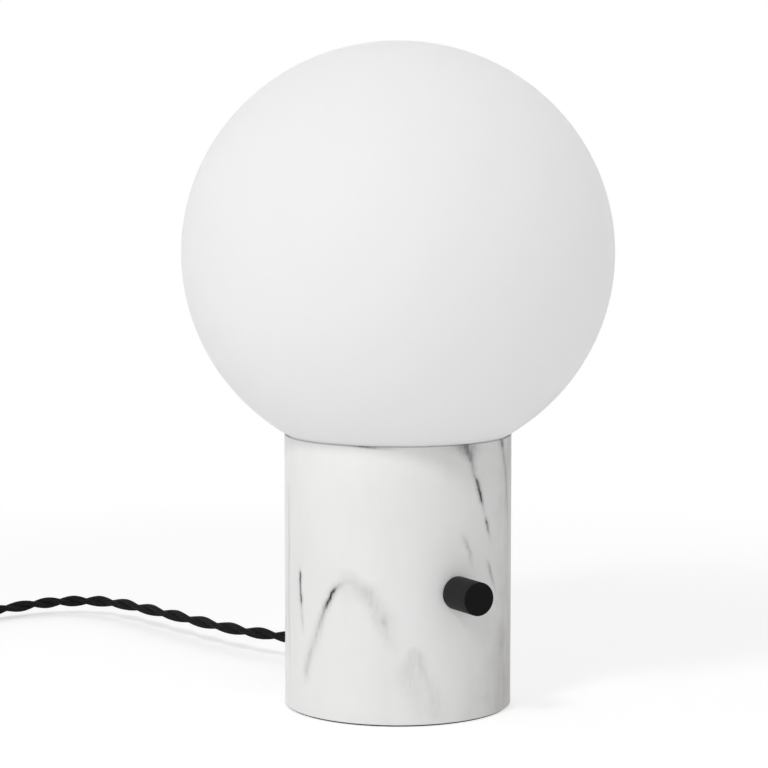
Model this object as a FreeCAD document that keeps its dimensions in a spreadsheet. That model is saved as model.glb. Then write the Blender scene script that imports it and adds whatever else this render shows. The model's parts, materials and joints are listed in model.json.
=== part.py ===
import FreeCAD, Part
import math
import os
import re
import Sketcher
from FreeCAD import Placement, Rotation, Vector

# Glass globe table lamp: an opal globe on a round stone base, with a rotary dimmer and a twisted cord.
# +Z is up and the origin is the middle of the underside. The knob faces -Y and the cord leaves at +Y.
# All sizes are millimetres.

doc = FreeCAD.newDocument("globe_lamp")

# Driving dimensions. Each is written once; every fit has a clearance of its own.
sizeRows = {
    # stone base
    "base_radius": 66.0, "rim_level": 159.5, "base_wall": 10.0, "rim_wall": 5.5,
    "foot_round": 0.6, "rim_round": 0.4, "panel_wall": 4.0,
    # foot pad, bottom plate and tie rods
    "pad_thick": 0.8, "pad_inset": 1.5, "plate_thick": 3.0, "rebate_width": 3.0, "plate_play": 0.3,
    "rod_radius": 2.5, "rod_inset": 7.0, "rod_play": 0.05, "rod_stub": 2.0,
    "rod_nut_flats": 8.0, "rod_nut_thick": 4.0, "rod_washer_radius": 5.0, "rod_washer_thick": 1.0,
    # glass globe
    "globe_radius": 125.0, "globe_half_tall": 122.0, "glass_wall": 3.0, "seam_gap": 0.4,
    "neck_radius": 46.0, "neck_length": 14.0,
    # top dish and its gasket
    "dish_wall": 1.5, "neck_play": 1.0, "flange_play": 0.5, "flange_drop": 1.8,
    "gasket_thick": 2.0, "gasket_inset": 1.0, "gasket_play": 0.2,
    # hollow threaded pipe that carries the lampholder
    "pipe_radius": 5.0, "pipe_bore": 3.75, "pipe_play": 0.03, "pipe_up": 5.0, "pipe_stub": 2.0,
    "pipe_nut_flats": 14.0, "pipe_nut_thick": 5.0, "pipe_washer_radius": 9.0, "pipe_washer_thick": 1.2,
    # lampholder
    "holder_radius": 19.0, "holder_wall": 2.0, "cap_tall": 22.0, "cap_floor": 4.0, "cap_bevel": 2.0,
    "cap_step": 2.0, "insert_flange": 4.0, "insert_foot": 3.0, "insert_head": 5.0, "insert_play": 0.1,
    "sleeve_wall": 3.0, "sleeve_tall": 34.0, "shell_tall": 25.0, "shell_wall": 0.7,
    "terminal_offset": 10.0, "terminal_radius": 2.0, "terminal_tall": 3.5,
    "spring_radius": 4.0, "spring_tall": 2.4,
    # screw thread of the bulb and its holder
    "thread_pitch": 3.629, "thread_depth": 0.5, "thread_radius": 12.95, "thread_play": 0.2,
    # bulb
    "contact_radius": 4.5, "contact_flare": 0.5, "contact_tall": 1.5,
    "insulator_radius": 11.0, "insulator_tall": 3.0,
    "bulb_cap_tall": 19.5, "bulb_cap_wall": 0.5, "housing_tall": 36.0, "housing_wall": 1.6,
    "throat_inset": 3.0, "housing_flare": 1.0,
    "bulb_radius": 30.0, "dome_straight": 18.0, "dome_wall": 1.5, "board_thick": 1.6,
    "board_play": 0.2, "chip_count": 12.0, "chip_ring": 16.0, "chip_side": 3.0, "chip_thick": 0.8,
    "driver_width": 18.0, "driver_tall": 30.0,
    # dimmer behind the knob
    "knob_level": 75.3, "dimmer_width": 22.0, "dimmer_height": 24.0, "dimmer_depth": 14.0,
    "dimmer_wall": 1.5, "dimmer_play": 1.0, "track_play": 0.2, "bush_radius": 3.5,
    "bush_flange": 5.5, "bush_play": 0.3,
    "shaft_radius": 3.0, "shaft_play": 0.05, "dimmer_nut_flats": 10.0, "dimmer_nut_thick": 2.2,
    "dimmer_washer_radius": 6.0, "dimmer_washer_thick": 0.8, "bush_stub": 1.0,
    "rotor_radius": 8.5, "rotor_thick": 2.0, "rotor_depth": 4.5, "wiper_gap": 0.1, "wiper_tall": 0.8,
    "wiper_width": 2.0, "shaft_inset": 1.0,
    "post_radius": 1.8, "post_offset": 5.0, "post_drop": 6.0, "post_stub": 2.5,
    # knob
    "knob_radius": 9.5, "knob_length": 23.6, "knob_gap": 0.8, "knob_front": 4.0, "knob_bevel": 0.4,
    "recess_radius": 7.2, "recess_play": 1.5, "insert_radius": 5.0, "insert_fit": 0.03,
    "flat_depth": 0.8, "grub_radius": 1.5, "grub_play": 0.05, "grub_inset": 0.6, "grub_place": 14.0,
    # cord entry and clamp
    "cord_radius": 3.5, "cord_level": 16.5, "cord_play": 0.2, "clamp_fit": 0.05,
    "gland_radius": 5.0, "gland_flange": 7.5, "gland_lip": 1.5, "gland_play": 0.3,
    "gland_nut_flats": 14.0, "gland_nut_thick": 4.0, "gland_nut_gap": 0.6, "gland_tail": 1.4,
    "relief_root": 6.0, "relief_tip": 4.6, "relief_length": 20.0,
    "clamp_width": 25.0, "clamp_depth": 10.0, "clamp_space": 5.0, "clamp_gap": 0.4, "clamp_roof": 2.5,
    "clamp_screw_radius": 1.5, "clamp_screw_offset": 8.5, "clamp_head_radius": 2.8, "clamp_head_tall": 2.0,
    "clamp_tail": 1.0,
    # terminal block and inner wires
    "block_width": 20.0, "block_depth": 16.0, "block_tall": 13.0, "block_place": 12.0,
    "block_offset": 4.5, "block_wire_level": 6.0, "sleeve_radius": 2.5, "sleeve_bore": 1.3,
    "sleeve_inset": 1.0, "sleeve_fit": 0.05, "block_screw_radius": 1.5, "wire_radius": 1.1,
    "wire_step": 4.0,
    # coil of spare cord, its tie and the plug
    "coil_radius": 50.0, "coil_turns": 5.5, "coil_gap": 0.6, "coil_lead": 7.0, "coil_tail": 27.0,
    "tie_thick": 1.0, "tie_width": 12.0, "tie_play": 0.2,
    "guard_radius": 5.5, "guard_step": 1.0, "guard_length": 20.0, "plug_width": 26.0, "plug_length": 32.0,
    "plug_round": 4.0, "blade_width": 6.35, "blade_thick": 1.5, "blade_length": 17.0,
    "blade_spacing": 12.7, "blade_root": 6.0, "blade_fit": 0.02,
}

sheet = doc.addObject("Spreadsheet::Sheet", "sizes")
for line, (alias, number) in enumerate(sizeRows.items(), start=1):
    sheet.set(f"A{line}", alias)
    sheet.set(f"B{line}", str(number))
    sheet.setAlias(f"B{line}", alias)

# Derived places. Each is an expression of the sizes and of the places above it.
placeRows = {
    "padTop": "pad_thick",
    "plateTop": "padTop + plate_thick",
    "boreRadius": "base_radius - base_wall",
    "mouthRadius": "base_radius - rim_wall",
    "rebateRadius": "boreRadius + rebate_width",
    "globeMiddle": "rim_level + seam_gap + globe_half_tall * sqrt(1 - (base_radius / globe_radius) ^ 2)",
    "seatLow": "globeMiddle - globe_half_tall * sqrt(1 - (mouthRadius / globe_radius) ^ 2) - seam_gap",
    "neckTop": "globeMiddle - globe_half_tall * sqrt(1 - (neck_radius / globe_radius) ^ 2)",
    "neckBottom": "neckTop - neck_length",
    "neckBore": "neck_radius - glass_wall",
    "rodOffset": "neckBore - rod_inset",
    "dishFloor": "neckBottom - gasket_thick",
    "dishUnder": "dishFloor - dish_wall",
    "collarRadius": "neck_radius + neck_play",
    "flangeTop": "neckTop - flange_drop",
    "ledgeLevel": "flangeTop - dish_wall",
    "rodTop": "dishFloor + rod_washer_thick + rod_nut_thick + rod_stub",
    "rodFoot": "padTop",
    "pipeFoot": "dishUnder - pipe_washer_thick - pipe_nut_thick - pipe_stub",
    "stepLevel": "dishFloor + cap_tall - insert_flange",
    "capTop": "dishFloor + cap_tall",
    "capInside": "holder_radius - holder_wall",
    "stepRadius": "capInside - cap_step",
    "sleeveInside": "holder_radius - sleeve_wall",
    "insertTop": "capTop + insert_head",
    "insertFoot": "stepLevel - insert_foot",
    "shellCrest": "thread_radius + thread_play",
    "bulbFoot": "insertTop + spring_tall",
    "insulatorLevel": "bulbFoot + contact_tall",
    "bulbCapLevel": "insulatorLevel + insulator_tall",
    "housingLevel": "bulbCapLevel + bulb_cap_tall",
    "domeLevel": "housingLevel + housing_tall",
    "domeMiddle": "domeLevel + dome_straight",
    "boardRadius": "bulb_radius - housing_wall - board_play",
    "panelPlane": "base_radius - panel_wall",
    "nutSeat": "panel_wall + dimmer_washer_thick",
    "nutTop": "nutSeat + dimmer_nut_thick",
    "bushTop": "nutTop + bush_stub",
    "knobFoot": "panel_wall + knob_gap",
    "knobTop": "knobFoot + knob_length",
    "recessTop": "bushTop + recess_play",
    "knobBore": "knobTop - knob_front",
    "rotorTop": "-(dimmer_wall + rotor_depth)",
    "trackTop": "rotorTop - rotor_thick - wiper_tall - wiper_gap",
    "shaftEnd": "trackTop - board_thick - shaft_inset",
    "postFoot": "-(dimmer_depth + dimmer_wall + post_stub)",
    "cordFace": "base_radius + gland_lip + relief_length",
    "glandNutFace": "base_wall + gland_nut_gap",
    "glandEnd": "base_radius - glandNutFace - gland_nut_thick - gland_tail",
    "clampPlace": "glandEnd - clamp_space - clamp_depth / 2",
    "innerEnd": "clampPlace - clamp_depth / 2 - clamp_tail",
    "clampTop": "cord_level + cord_radius + clamp_roof",
    "wireLevel": "plateTop + block_wire_level",
    "blockFront": "block_place - block_depth / 2",
    "blockBack": "block_place + block_depth / 2",
    "coilLow": "cord_radius + tie_thick + tie_play",
    "coilPitch": "2 * cord_radius + coil_gap",
    "coilHigh": "coilLow + coilPitch",
    "coilInner": "coil_radius - coilPitch * coil_turns / 2",
}


def bound(text):
    # An expression names each size and place with the object that holds it.
    def owned(found):
        word = found.group(0)
        owner = "sizes." if word in sizeRows else "places." if word in placeRows else ""
        return owner + word

    return re.sub(r"[A-Za-z_]\w*", owned, text)


places = doc.addObject("App::FeaturePython", "places")
for place, rule in placeRows.items():
    places.addProperty("App::PropertyFloat", place)
    places.setExpression(place, bound(rule))
doc.recompute()


def size(name):
    if name in sizeRows:
        return float(sheet.get(name))
    return float(getattr(places, name))


# Building blocks.

nodes = {}


def node(label, thing):
    # A finished sub-part, whose label names its file.
    thing.Label = label
    nodes[label] = thing
    return thing


def seat(thing, at, turn=None):
    # Puts an object at three expressions, after its own turn.
    if turn:
        thing.Placement = Placement(Vector(0, 0, 0), turn)
    for letter, text in zip("xyz", at):
        if text != "0":
            thing.setExpression("Placement.Base." + letter, bound(text))
    return thing


def primitive(kind, name, at=("0", "0", "0"), turn=None, **lengths):
    # A Part primitive, whose lengths are expressions.
    thing = doc.addObject("Part::" + kind, name)
    for length, text in lengths.items():
        thing.setExpression(length, bound(text))
    return seat(thing, at, turn)


def block(name, width, depth, tall, middle, low, turn=None):
    # A box whose footprint is centred on a place, from a level up.
    at = (f"{middle[0]} - ({width}) / 2", f"{middle[1]} - ({depth}) / 2", low)
    return primitive("Box", name, at, turn, Length=width, Width=depth, Height=tall)


def joined(name, things):
    fused = doc.addObject("Part::MultiFuse", name)
    fused.Shapes = things
    return fused


def less(name, body, tools):
    # The body with the tools cut out of it.
    if len(tools) > 1:
        tool = joined(name + "_cuts", tools)
    else:
        tool = tools[0]
    cut = doc.addObject("Part::Cut", name)
    cut.Base = body
    cut.Tool = tool
    return cut


def drawOutline(sketch, corners):
    # A closed outline of straight lines, each corner held by two expressions.
    count = len(corners)
    for corner in range(count):
        ends = [2 * math.pi * step / count for step in (corner, corner + 1)]
        start, end = (Vector(40 + 10 * math.cos(end), 40 + 10 * math.sin(end), 0) for end in ends)
        sketch.addGeometry(Part.LineSegment(start, end))
    for corner in range(count):
        after = (corner + 1) % count
        sketch.addConstraint(Sketcher.Constraint("Coincident", corner, 2, after, 1))
    for corner, (across, along) in enumerate(corners):
        for kind, axis, text in (("DistanceX", -2, across), ("DistanceY", -1, along)):
            if text == "0":
                sketch.addConstraint(Sketcher.Constraint("PointOnObject", corner, 1, axis))
            else:
                held = sketch.addConstraint(Sketcher.Constraint(kind, -1, 1, corner, 1, 40.0))
                sketch.setExpression(f"Constraints[{held}]", bound(text))


def sketchOn(body, name, role):
    sketch = body.newObject("Sketcher::SketchObject", name)
    plane = next(face for face in body.Origin.OriginFeatures if face.Role == role)
    sketch.AttachmentSupport = (plane, [""])
    sketch.MapMode = "FlatFace"
    return sketch


def turned(name, corners, at=("0", "0", "0"), turn=None):
    # A body of revolution about its own Z axis, from corners of (radius, height).
    body = doc.addObject("PartDesign::Body", name)
    sketch = sketchOn(body, name + "_profile", "XZ_Plane")
    drawOutline(sketch, corners)
    revolution = body.newObject("PartDesign::Revolution", name + "_turn")
    revolution.Profile = sketch
    revolution.ReferenceAxis = (sketch, ["V_Axis"])
    revolution.Angle = 360
    return seat(body, at, turn)


def ring(name, outer, inner, low, high, at=("0", "0", "0"), turn=None):
    return turned(name, [(inner, low), (outer, low), (outer, high), (inner, high)], at, turn)


def disc(name, radius, low, high, at=("0", "0", "0"), turn=None):
    return ring(name, radius, "0", low, high, at, turn)


def roundEdges(body, name, radius, circles):
    # Rounds the circular edges that lie at the given radii and heights.
    doc.recompute()
    last = body.Tip
    picked = []
    for index, edge in enumerate(last.Shape.Edges, start=1):
        if not isinstance(edge.Curve, Part.Circle):
            continue
        for circleRadius, height in circles:
            sameRadius = abs(edge.Curve.Radius - circleRadius) < 0.01
            if sameRadius and abs(edge.Curve.Center.z - height) < 0.01:
                picked.append(f"Edge{index}")
    fillet = body.newObject("PartDesign::Fillet", name)
    fillet.Base = (last, picked)
    fillet.setExpression("Radius", bound(radius))
    return body


def hexNut(name, flats, thick, bore, at, turn=None):
    blank = primitive("Prism", name + "_blank", at, turn, Circumradius=f"{flats} / sqrt(3)", Height=thick)
    blank.Polygon = 6
    hole = primitive("Cylinder", name + "_bore", at, turn, Radius=bore, Height=thick)
    return less(name, blank, [hole])


def bentPath(points):
    # Straight runs joined by tangent arcs, each as large as its two runs allow.
    edges = []
    radii = []
    start = points[0]
    for before, corner, after in zip(points, points[1:], points[2:]):
        runIn = corner - before
        runOut = after - corner
        turn = runIn.getAngle(runOut)
        reach = 0.45 * min(runIn.Length, runOut.Length)
        radius = reach / math.tan(turn / 2)
        arcStart = corner - Vector(runIn).normalize() * reach
        arcEnd = corner + Vector(runOut).normalize() * reach
        inward = (Vector(runOut).normalize() - Vector(runIn).normalize()).normalize()
        middle = corner + inward * (radius / math.cos(turn / 2) - radius)
        edges.append(Part.LineSegment(start, arcStart).toShape())
        edges.append(Part.Arc(arcStart, middle, arcEnd).toShape())
        radii.append(radius)
        start = arcEnd
    edges.append(Part.LineSegment(start, points[-1]).toShape())
    return Part.Wire(edges), radii


def tubeOn(path, radius):
    # A solid round tube along a wire.
    first = path.Edges[0]
    begin = first.valueAt(first.FirstParameter)
    heading = first.tangentAt(first.FirstParameter)
    section = Part.Wire(Part.makeCircle(radius, begin, heading))
    tube = path.makePipeShell([section], True, False)
    expected = math.pi * radius ** 2 * path.Length
    if abs(tube.Volume - expected) > 0.02 * expected:
        raise ValueError("a tube's volume is not its section times its length")
    return tube


def feature(label, shape):
    thing = doc.addObject("Part::Feature", label)
    thing.Shape = shape
    return node(label, thing)


# Foot pad, bottom plate and tie rods.

node("foot_pad", disc("foot_pad", "base_radius - pad_inset", "0", "padTop"))

rodSides = {"left": "-rodOffset", "right": "rodOffset"}


def rodHoles(name, low, tall):
    return [
        primitive("Cylinder", f"{name}_{side}_hole", (across, "0", low),
                  Radius="rod_radius + rod_play", Height=tall)
        for side, across in rodSides.items()
    ]


plateDisc = disc("plate_disc", "rebateRadius - plate_play", "padTop", "plateTop")
node("base_plate", less("base_plate", plateDisc, rodHoles("plate", "padTop", "plate_thick")))

node("tie_rods", joined("tie_rods", [
    primitive("Cylinder", f"rod_{side}", (across, "0", "rodFoot"),
              Radius="rod_radius", Height="rodTop - rodFoot")
    for side, across in rodSides.items()
]))

rodNutLevels = {"lower": "plateTop", "upper": "dishFloor + rod_washer_thick"}
for position, level in rodNutLevels.items():
    node(f"rod_nuts_{position}", joined(f"rod_nuts_{position}", [
        hexNut(f"rod_nut_{position}_{side}", "rod_nut_flats", "rod_nut_thick",
               "rod_radius + rod_play", (across, "0", level))
        for side, across in rodSides.items()
    ]))

node("rod_washers", joined("rod_washers", [
    ring(f"rod_washer_{side}", "rod_washer_radius", "rod_radius + rod_play", "0",
         "rod_washer_thick", (across, "0", "dishFloor"))
    for side, across in rodSides.items()
]))


# Stone base: a round shell whose top edge slopes in under the globe.

shell = turned("shell_turned", [
    ("base_radius", "padTop"), ("base_radius", "rim_level"), ("mouthRadius", "seatLow"),
    ("mouthRadius", "ledgeLevel"), ("boreRadius", "ledgeLevel"), ("boreRadius", "plateTop"),
    ("rebateRadius", "plateTop"), ("rebateRadius", "padTop"),
])
roundEdges(shell, "foot_edge", "foot_round", [(size("base_radius"), size("padTop"))])
roundEdges(shell, "rim_edge", "rim_round", [(size("base_radius"), size("rim_level"))])

outwardKnob = Rotation(Vector(1, 0, 0), 90)
outwardCord = Rotation(Vector(1, 0, 0), -90)
knobSeat = ("0", "-panelPlane", "knob_level")
cordSeat = ("0", "base_radius", "cord_level")

dimmerPocket = primitive(
    "Box", "dimmer_pocket",
    ("-dimmer_width / 2 - dimmer_play", "-panelPlane", "knob_level - dimmer_height / 2 - dimmer_play"),
    Length="dimmer_width + 2 * dimmer_play", Width="panelPlane / 2",
    Height="dimmer_height + 2 * dimmer_play")
bushHole = primitive("Cylinder", "bush_hole", knobSeat, outwardKnob,
                     Radius="bush_radius + bush_play", Height="2 * panel_wall")
glandHole = primitive("Cylinder", "gland_hole", ("0", "boreRadius / 2", "cord_level"), outwardCord,
                      Radius="gland_radius + gland_play", Height="base_radius")
node("stone_base", less("stone_base", shell, [dimmerPocket, bushHole, glandHole]))


# Top dish: closes the base, carries the lampholder and takes the neck of the globe.

dishTurned = turned("dish_turned", [
    ("pipe_radius + pipe_play", "dishUnder"), ("collarRadius + dish_wall", "dishUnder"),
    ("collarRadius + dish_wall", "ledgeLevel"), ("mouthRadius - flange_play", "ledgeLevel"),
    ("mouthRadius - flange_play", "flangeTop"), ("collarRadius", "flangeTop"),
    ("collarRadius", "dishFloor"), ("pipe_radius + pipe_play", "dishFloor"),
])
node("top_dish", less("top_dish", dishTurned, rodHoles("dish", "dishUnder - dish_wall", "3 * dish_wall")))

node("globe_gasket", ring("globe_gasket", "collarRadius - gasket_play", "neckBore - gasket_inset",
                          "dishFloor", "neckBottom"))


# Glass globe: slightly wider than tall, with a short straight neck at its foot.

globeAt = ("0", "0", "globeMiddle")


def ellipsoid(name, inset):
    whole = primitive("Ellipsoid", name, globeAt, Radius1=f"globe_half_tall - {inset}",
                      Radius2=f"globe_radius - {inset}", Radius3=f"globe_radius - {inset}")
    whole.Angle1 = -90
    whole.Angle2 = 90
    whole.Angle3 = 360
    return whole


globeBlank = joined("globe_blank", [
    ellipsoid("globe_outside", "0"),
    primitive("Cylinder", "neck_outside", ("0", "0", "neckBottom"), Radius="neck_radius",
              Height="neck_length + glass_wall / 2"),
])
globeBore = primitive("Cylinder", "neck_bore", ("0", "0", "neckBottom - glass_wall"), Radius="neckBore",
                      Height="neck_length + 5 * glass_wall")
node("glass_globe", less("glass_globe", globeBlank, [ellipsoid("globe_inside", "glass_wall"), globeBore]))


# Threaded pipe, nut and washer that hold the lampholder on the dish.

node("holder_pipe", ring("holder_pipe", "pipe_radius", "pipe_bore", "pipeFoot", "dishFloor + pipe_up"))
node("pipe_washer", ring("pipe_washer", "pipe_washer_radius", "pipe_radius + pipe_play",
                         "dishUnder - pipe_washer_thick", "dishUnder"))
node("pipe_nut", hexNut("pipe_nut", "pipe_nut_flats", "pipe_nut_thick", "pipe_radius + pipe_play",
                        ("0", "0", "dishUnder - pipe_washer_thick - pipe_nut_thick")))


# Lampholder: cap, inner carrier, outer sleeve, threaded shell, centre spring and terminals.

node("holder_cap", turned("holder_cap", [
    ("pipe_radius + pipe_play", "dishFloor"), ("holder_radius - cap_bevel", "dishFloor"),
    ("holder_radius", "dishFloor + cap_bevel"), ("holder_radius", "capTop"), ("capInside", "capTop"),
    ("capInside", "stepLevel"), ("stepRadius", "stepLevel"), ("stepRadius", "dishFloor + cap_floor"),
    ("pipe_radius + pipe_play", "dishFloor + cap_floor"),
]))
node("holder_carrier", turned("holder_carrier", [
    ("0", "insertFoot"), ("stepRadius - insert_play", "insertFoot"),
    ("stepRadius - insert_play", "stepLevel"), ("capInside - insert_play", "stepLevel"),
    ("capInside - insert_play", "capTop"), ("sleeveInside - insert_play", "capTop"),
    ("sleeveInside - insert_play", "insertTop"), ("0", "insertTop"),
]))
node("holder_sleeve", ring("holder_sleeve", "holder_radius", "sleeveInside", "capTop",
                           "capTop + sleeve_tall"))


def threadProfile(inner, wall, low, tall):
    # A thin wall pressed into thread waves: out to a crest and back in every pitch.
    waves = int(size(tall) / size("thread_pitch"))
    inside = []
    outside = []
    for step in range(2 * waves + 1):
        level = f"{low} + {tall} * {step} / {2 * waves}"
        wave = "0" if step % 2 == 0 else "thread_depth"
        inside.append((f"{inner} + {wave}", level))
        outside.append((f"{inner} + {wall} + {wave}", level))
    return inside + outside[::-1]


node("holder_shell", turned("holder_shell", threadProfile("shellCrest", "shell_wall", "insertTop",
                                                          "shell_tall")))
node("holder_spring", turned("holder_spring", [
    ("0", "insertTop"), ("spring_radius", "insertTop"), ("spring_radius", "insertTop + spring_tall / 3"),
    ("spring_radius / 2", "bulbFoot"), ("0", "bulbFoot"),
]))
node("holder_terminals", joined("holder_terminals", [
    primitive("Cylinder", f"holder_terminal_{side}", (f"{sign}terminal_offset", "0",
              "insertFoot - terminal_tall"), Radius="terminal_radius", Height="terminal_tall")
    for side, sign in (("left", "-"), ("right", ""))
]))


# Bulb: contact, insulator, screw cap, housing, diffuser, light board, chips and driver.

node("bulb_contact", turned("bulb_contact", [
    ("0", "bulbFoot"), ("contact_radius", "bulbFoot"), ("contact_radius + contact_flare", "insulatorLevel"),
    ("0", "insulatorLevel"),
]))
node("bulb_insulator", turned("bulb_insulator", [
    ("0", "insulatorLevel"), ("contact_radius + 3 * contact_flare", "insulatorLevel"),
    ("insulator_radius", "bulbCapLevel"), ("0", "bulbCapLevel"),
]))
node("bulb_cap", turned("bulb_cap", threadProfile("thread_radius - thread_depth - bulb_cap_wall",
                                                  "bulb_cap_wall", "bulbCapLevel", "bulb_cap_tall")))
node("bulb_housing", turned("bulb_housing", [
    ("thread_radius - throat_inset", "housingLevel"), ("thread_radius + housing_flare", "housingLevel"),
    ("thread_radius + 2 * housing_flare", "housingLevel + housing_tall / 6"),
    ("bulb_radius - 2 * housing_flare", "domeLevel - housing_tall / 4"), ("bulb_radius", "domeLevel"),
    ("bulb_radius - housing_wall", "domeLevel"),
    ("bulb_radius - housing_wall", "domeLevel - board_thick"),
    ("bulb_radius - 4 * housing_wall", "domeLevel - board_thick"),
    ("thread_radius + 2 * housing_flare - housing_wall", "housingLevel + housing_tall / 6 + housing_wall"),
    ("thread_radius - throat_inset", "housingLevel + housing_wall"),
]))


def dome(name, inset):
    return joined(name, [
        primitive("Cylinder", name + "_side", ("0", "0", "domeLevel"),
                  Radius=f"bulb_radius - {inset}", Height="dome_straight"),
        primitive("Sphere", name + "_top", ("0", "0", "domeMiddle"), Radius=f"bulb_radius - {inset}"),
    ])


domeFoot = primitive("Cylinder", "dome_foot", ("0", "0", "domeLevel - bulb_radius"),
                     Radius="2 * bulb_radius", Height="bulb_radius")
node("bulb_diffuser", less("bulb_diffuser", dome("dome_outside", "0"),
                           [dome("dome_inside", "dome_wall"), domeFoot]))
node("light_board", disc("light_board", "boardRadius", "domeLevel - board_thick", "domeLevel"))

chips = []
for index in range(int(size("chip_count"))):
    angle = math.radians(360 / size("chip_count") * index)
    across = f"chip_ring * {math.cos(angle):.6f}"
    along = f"chip_ring * {math.sin(angle):.6f}"
    chips.append(block(f"chip_{index + 1}", "chip_side", "chip_side", "chip_thick",
                       (across, along), "domeLevel"))
node("light_chips", joined("light_chips", chips))
node("bulb_driver", block("bulb_driver", "driver_width", "board_thick", "driver_tall", ("0", "0"),
                          "domeLevel - board_thick - driver_tall"))


# Dimmer, drawn with its own Z axis pointing out through the wall of the base.

def knobBlock(name, width, height, low, tall):
    thing = primitive("Box", name, ("0", "0", "0"), outwardKnob, Length=width, Width=height, Height=tall)
    return seat(thing, (f"-({width}) / 2", f"-panelPlane - ({low})", f"knob_level - ({height}) / 2"))


def knobCylinder(name, radius, low, tall, at=("0", "0")):
    return primitive("Cylinder", name, (at[0], f"-panelPlane - ({low})", f"knob_level + {at[1]}"),
                     outwardKnob, Radius=radius, Height=tall)


housingBox = knobBlock("housing_box", "dimmer_width", "dimmer_height", "-dimmer_depth", "dimmer_depth")
housingInside = knobBlock("housing_inside", "dimmer_width - 2 * dimmer_wall",
                          "dimmer_height - 2 * dimmer_wall", "-dimmer_depth - dimmer_wall",
                          "dimmer_depth")
housingHole = knobCylinder("housing_hole", "bush_radius + shaft_play", "-2 * dimmer_wall",
                           "3 * dimmer_wall")
node("dimmer_housing", less("dimmer_housing", housingBox, [housingInside, housingHole]))

node("dimmer_bush", turned("dimmer_bush", [
    ("shaft_radius + shaft_play", "-2 * dimmer_wall"), ("bush_flange", "-2 * dimmer_wall"),
    ("bush_flange", "-dimmer_wall"), ("bush_radius", "-dimmer_wall"), ("bush_radius", "bushTop"),
    ("shaft_radius + shaft_play", "bushTop"),
], knobSeat, outwardKnob))
node("dimmer_washer", ring("dimmer_washer", "dimmer_washer_radius", "bush_radius + shaft_play",
                           "panel_wall", "nutSeat", knobSeat, outwardKnob))
node("dimmer_nut", hexNut("dimmer_nut", "dimmer_nut_flats", "dimmer_nut_thick",
                          "bush_radius + shaft_play", ("0", "-panelPlane - nutSeat", "knob_level"),
                          outwardKnob))

postSides = {"left": "-post_offset", "right": "post_offset"}
trackHeight = "dimmer_height - 2 * dimmer_wall - 2 * track_play"
trackBlank = knobBlock("track_blank", "dimmer_width - 2 * dimmer_wall - 2 * track_play",
                       trackHeight, "trackTop - board_thick", "board_thick")
node("dimmer_track", less("dimmer_track", trackBlank, [
    knobCylinder("track_hole", "shaft_radius + bush_play", "trackTop - 2 * board_thick", "3 * board_thick"),
    *[knobCylinder(f"track_{side}_hole", "post_radius + shaft_play", "trackTop - 2 * board_thick",
                   "3 * board_thick", (across, "(-post_drop)")) for side, across in postSides.items()],
]))
coverBlank = knobBlock("cover_blank", "dimmer_width", "dimmer_height", "-dimmer_depth - dimmer_wall",
                       "dimmer_wall")
node("dimmer_cover", less("dimmer_cover", coverBlank, [
    knobCylinder(f"cover_{side}_hole", "post_radius + shaft_play", "-dimmer_depth - 2 * dimmer_wall",
                 "3 * dimmer_wall", (across, "(-post_drop)"))
    for side, across in postSides.items()
]))
node("dimmer_posts", joined("dimmer_posts", [
    knobCylinder(f"post_{side}", "post_radius", "postFoot", "trackTop - postFoot",
                 (across, "(-post_drop)"))
    for side, across in postSides.items()
]))


# Turning pieces: shaft, rotor, wiper, brass insert, knob and its grub screw.

shaftFlat = block("shaft_flat", "3 * shaft_radius", "knobTop", "shaft_radius",
                  ("0", "-panelPlane - recessTop - knobTop / 2"),
                  "knob_level - 2 * shaft_radius + flat_depth")
shaftRound = knobCylinder("shaft_round", "shaft_radius", "shaftEnd", "knobBore - shaft_inset - shaftEnd")
node("dimmer_shaft", less("dimmer_shaft", shaftRound, [shaftFlat]))
node("dimmer_rotor", ring("dimmer_rotor", "rotor_radius", "shaft_radius + insert_fit",
                          "rotorTop - rotor_thick", "rotorTop", knobSeat, outwardKnob))
node("dimmer_wiper", primitive(
    "Box", "dimmer_wiper",
    ("-wiper_width / 2", "-panelPlane - (rotorTop - rotor_thick)",
     "knob_level + shaft_radius + shaft_inset"),
    Length="wiper_width", Width="wiper_tall", Height="rotor_radius - shaft_radius - 2 * shaft_inset"))

grubAt = ("0", "-panelPlane - grub_place", "knob_level - knob_radius")
insertRing = ring("insert_ring", "insert_radius - insert_fit", "shaft_radius + insert_fit",
                  "recessTop + shaft_inset", "knobBore", knobSeat, outwardKnob)
node("knob_insert", less("knob_insert", insertRing, [
    primitive("Cylinder", "insert_screw_hole", grubAt, Radius="grub_radius + grub_play",
              Height="knob_radius"),
]))

knobTurned = turned("knob_turned", [
    ("recess_radius", "knobFoot"), ("knob_radius - knob_bevel", "knobFoot"),
    ("knob_radius", "knobFoot + knob_bevel"), ("knob_radius", "knobTop - knob_bevel"),
    ("knob_radius - knob_bevel", "knobTop"), ("0", "knobTop"), ("0", "knobBore"),
    ("insert_radius", "knobBore"), ("insert_radius", "recessTop"), ("recess_radius", "recessTop"),
], knobSeat, outwardKnob)
node("dimmer_knob", less("dimmer_knob", knobTurned, [
    primitive("Cylinder", "knob_screw_hole", grubAt, Radius="grub_radius + grub_play",
              Height="knob_radius"),
]))
node("knob_grub_screw", primitive(
    "Cylinder", "knob_grub_screw",
    ("0", "-panelPlane - grub_place", "knob_level - knob_radius + grub_inset"),
    Radius="grub_radius", Height="knob_radius - grub_inset - shaft_radius + flat_depth - grub_play"))


# Cord entry: gland with its tapered strain relief, its nut, the inner end of the cord and its clamp.

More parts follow.
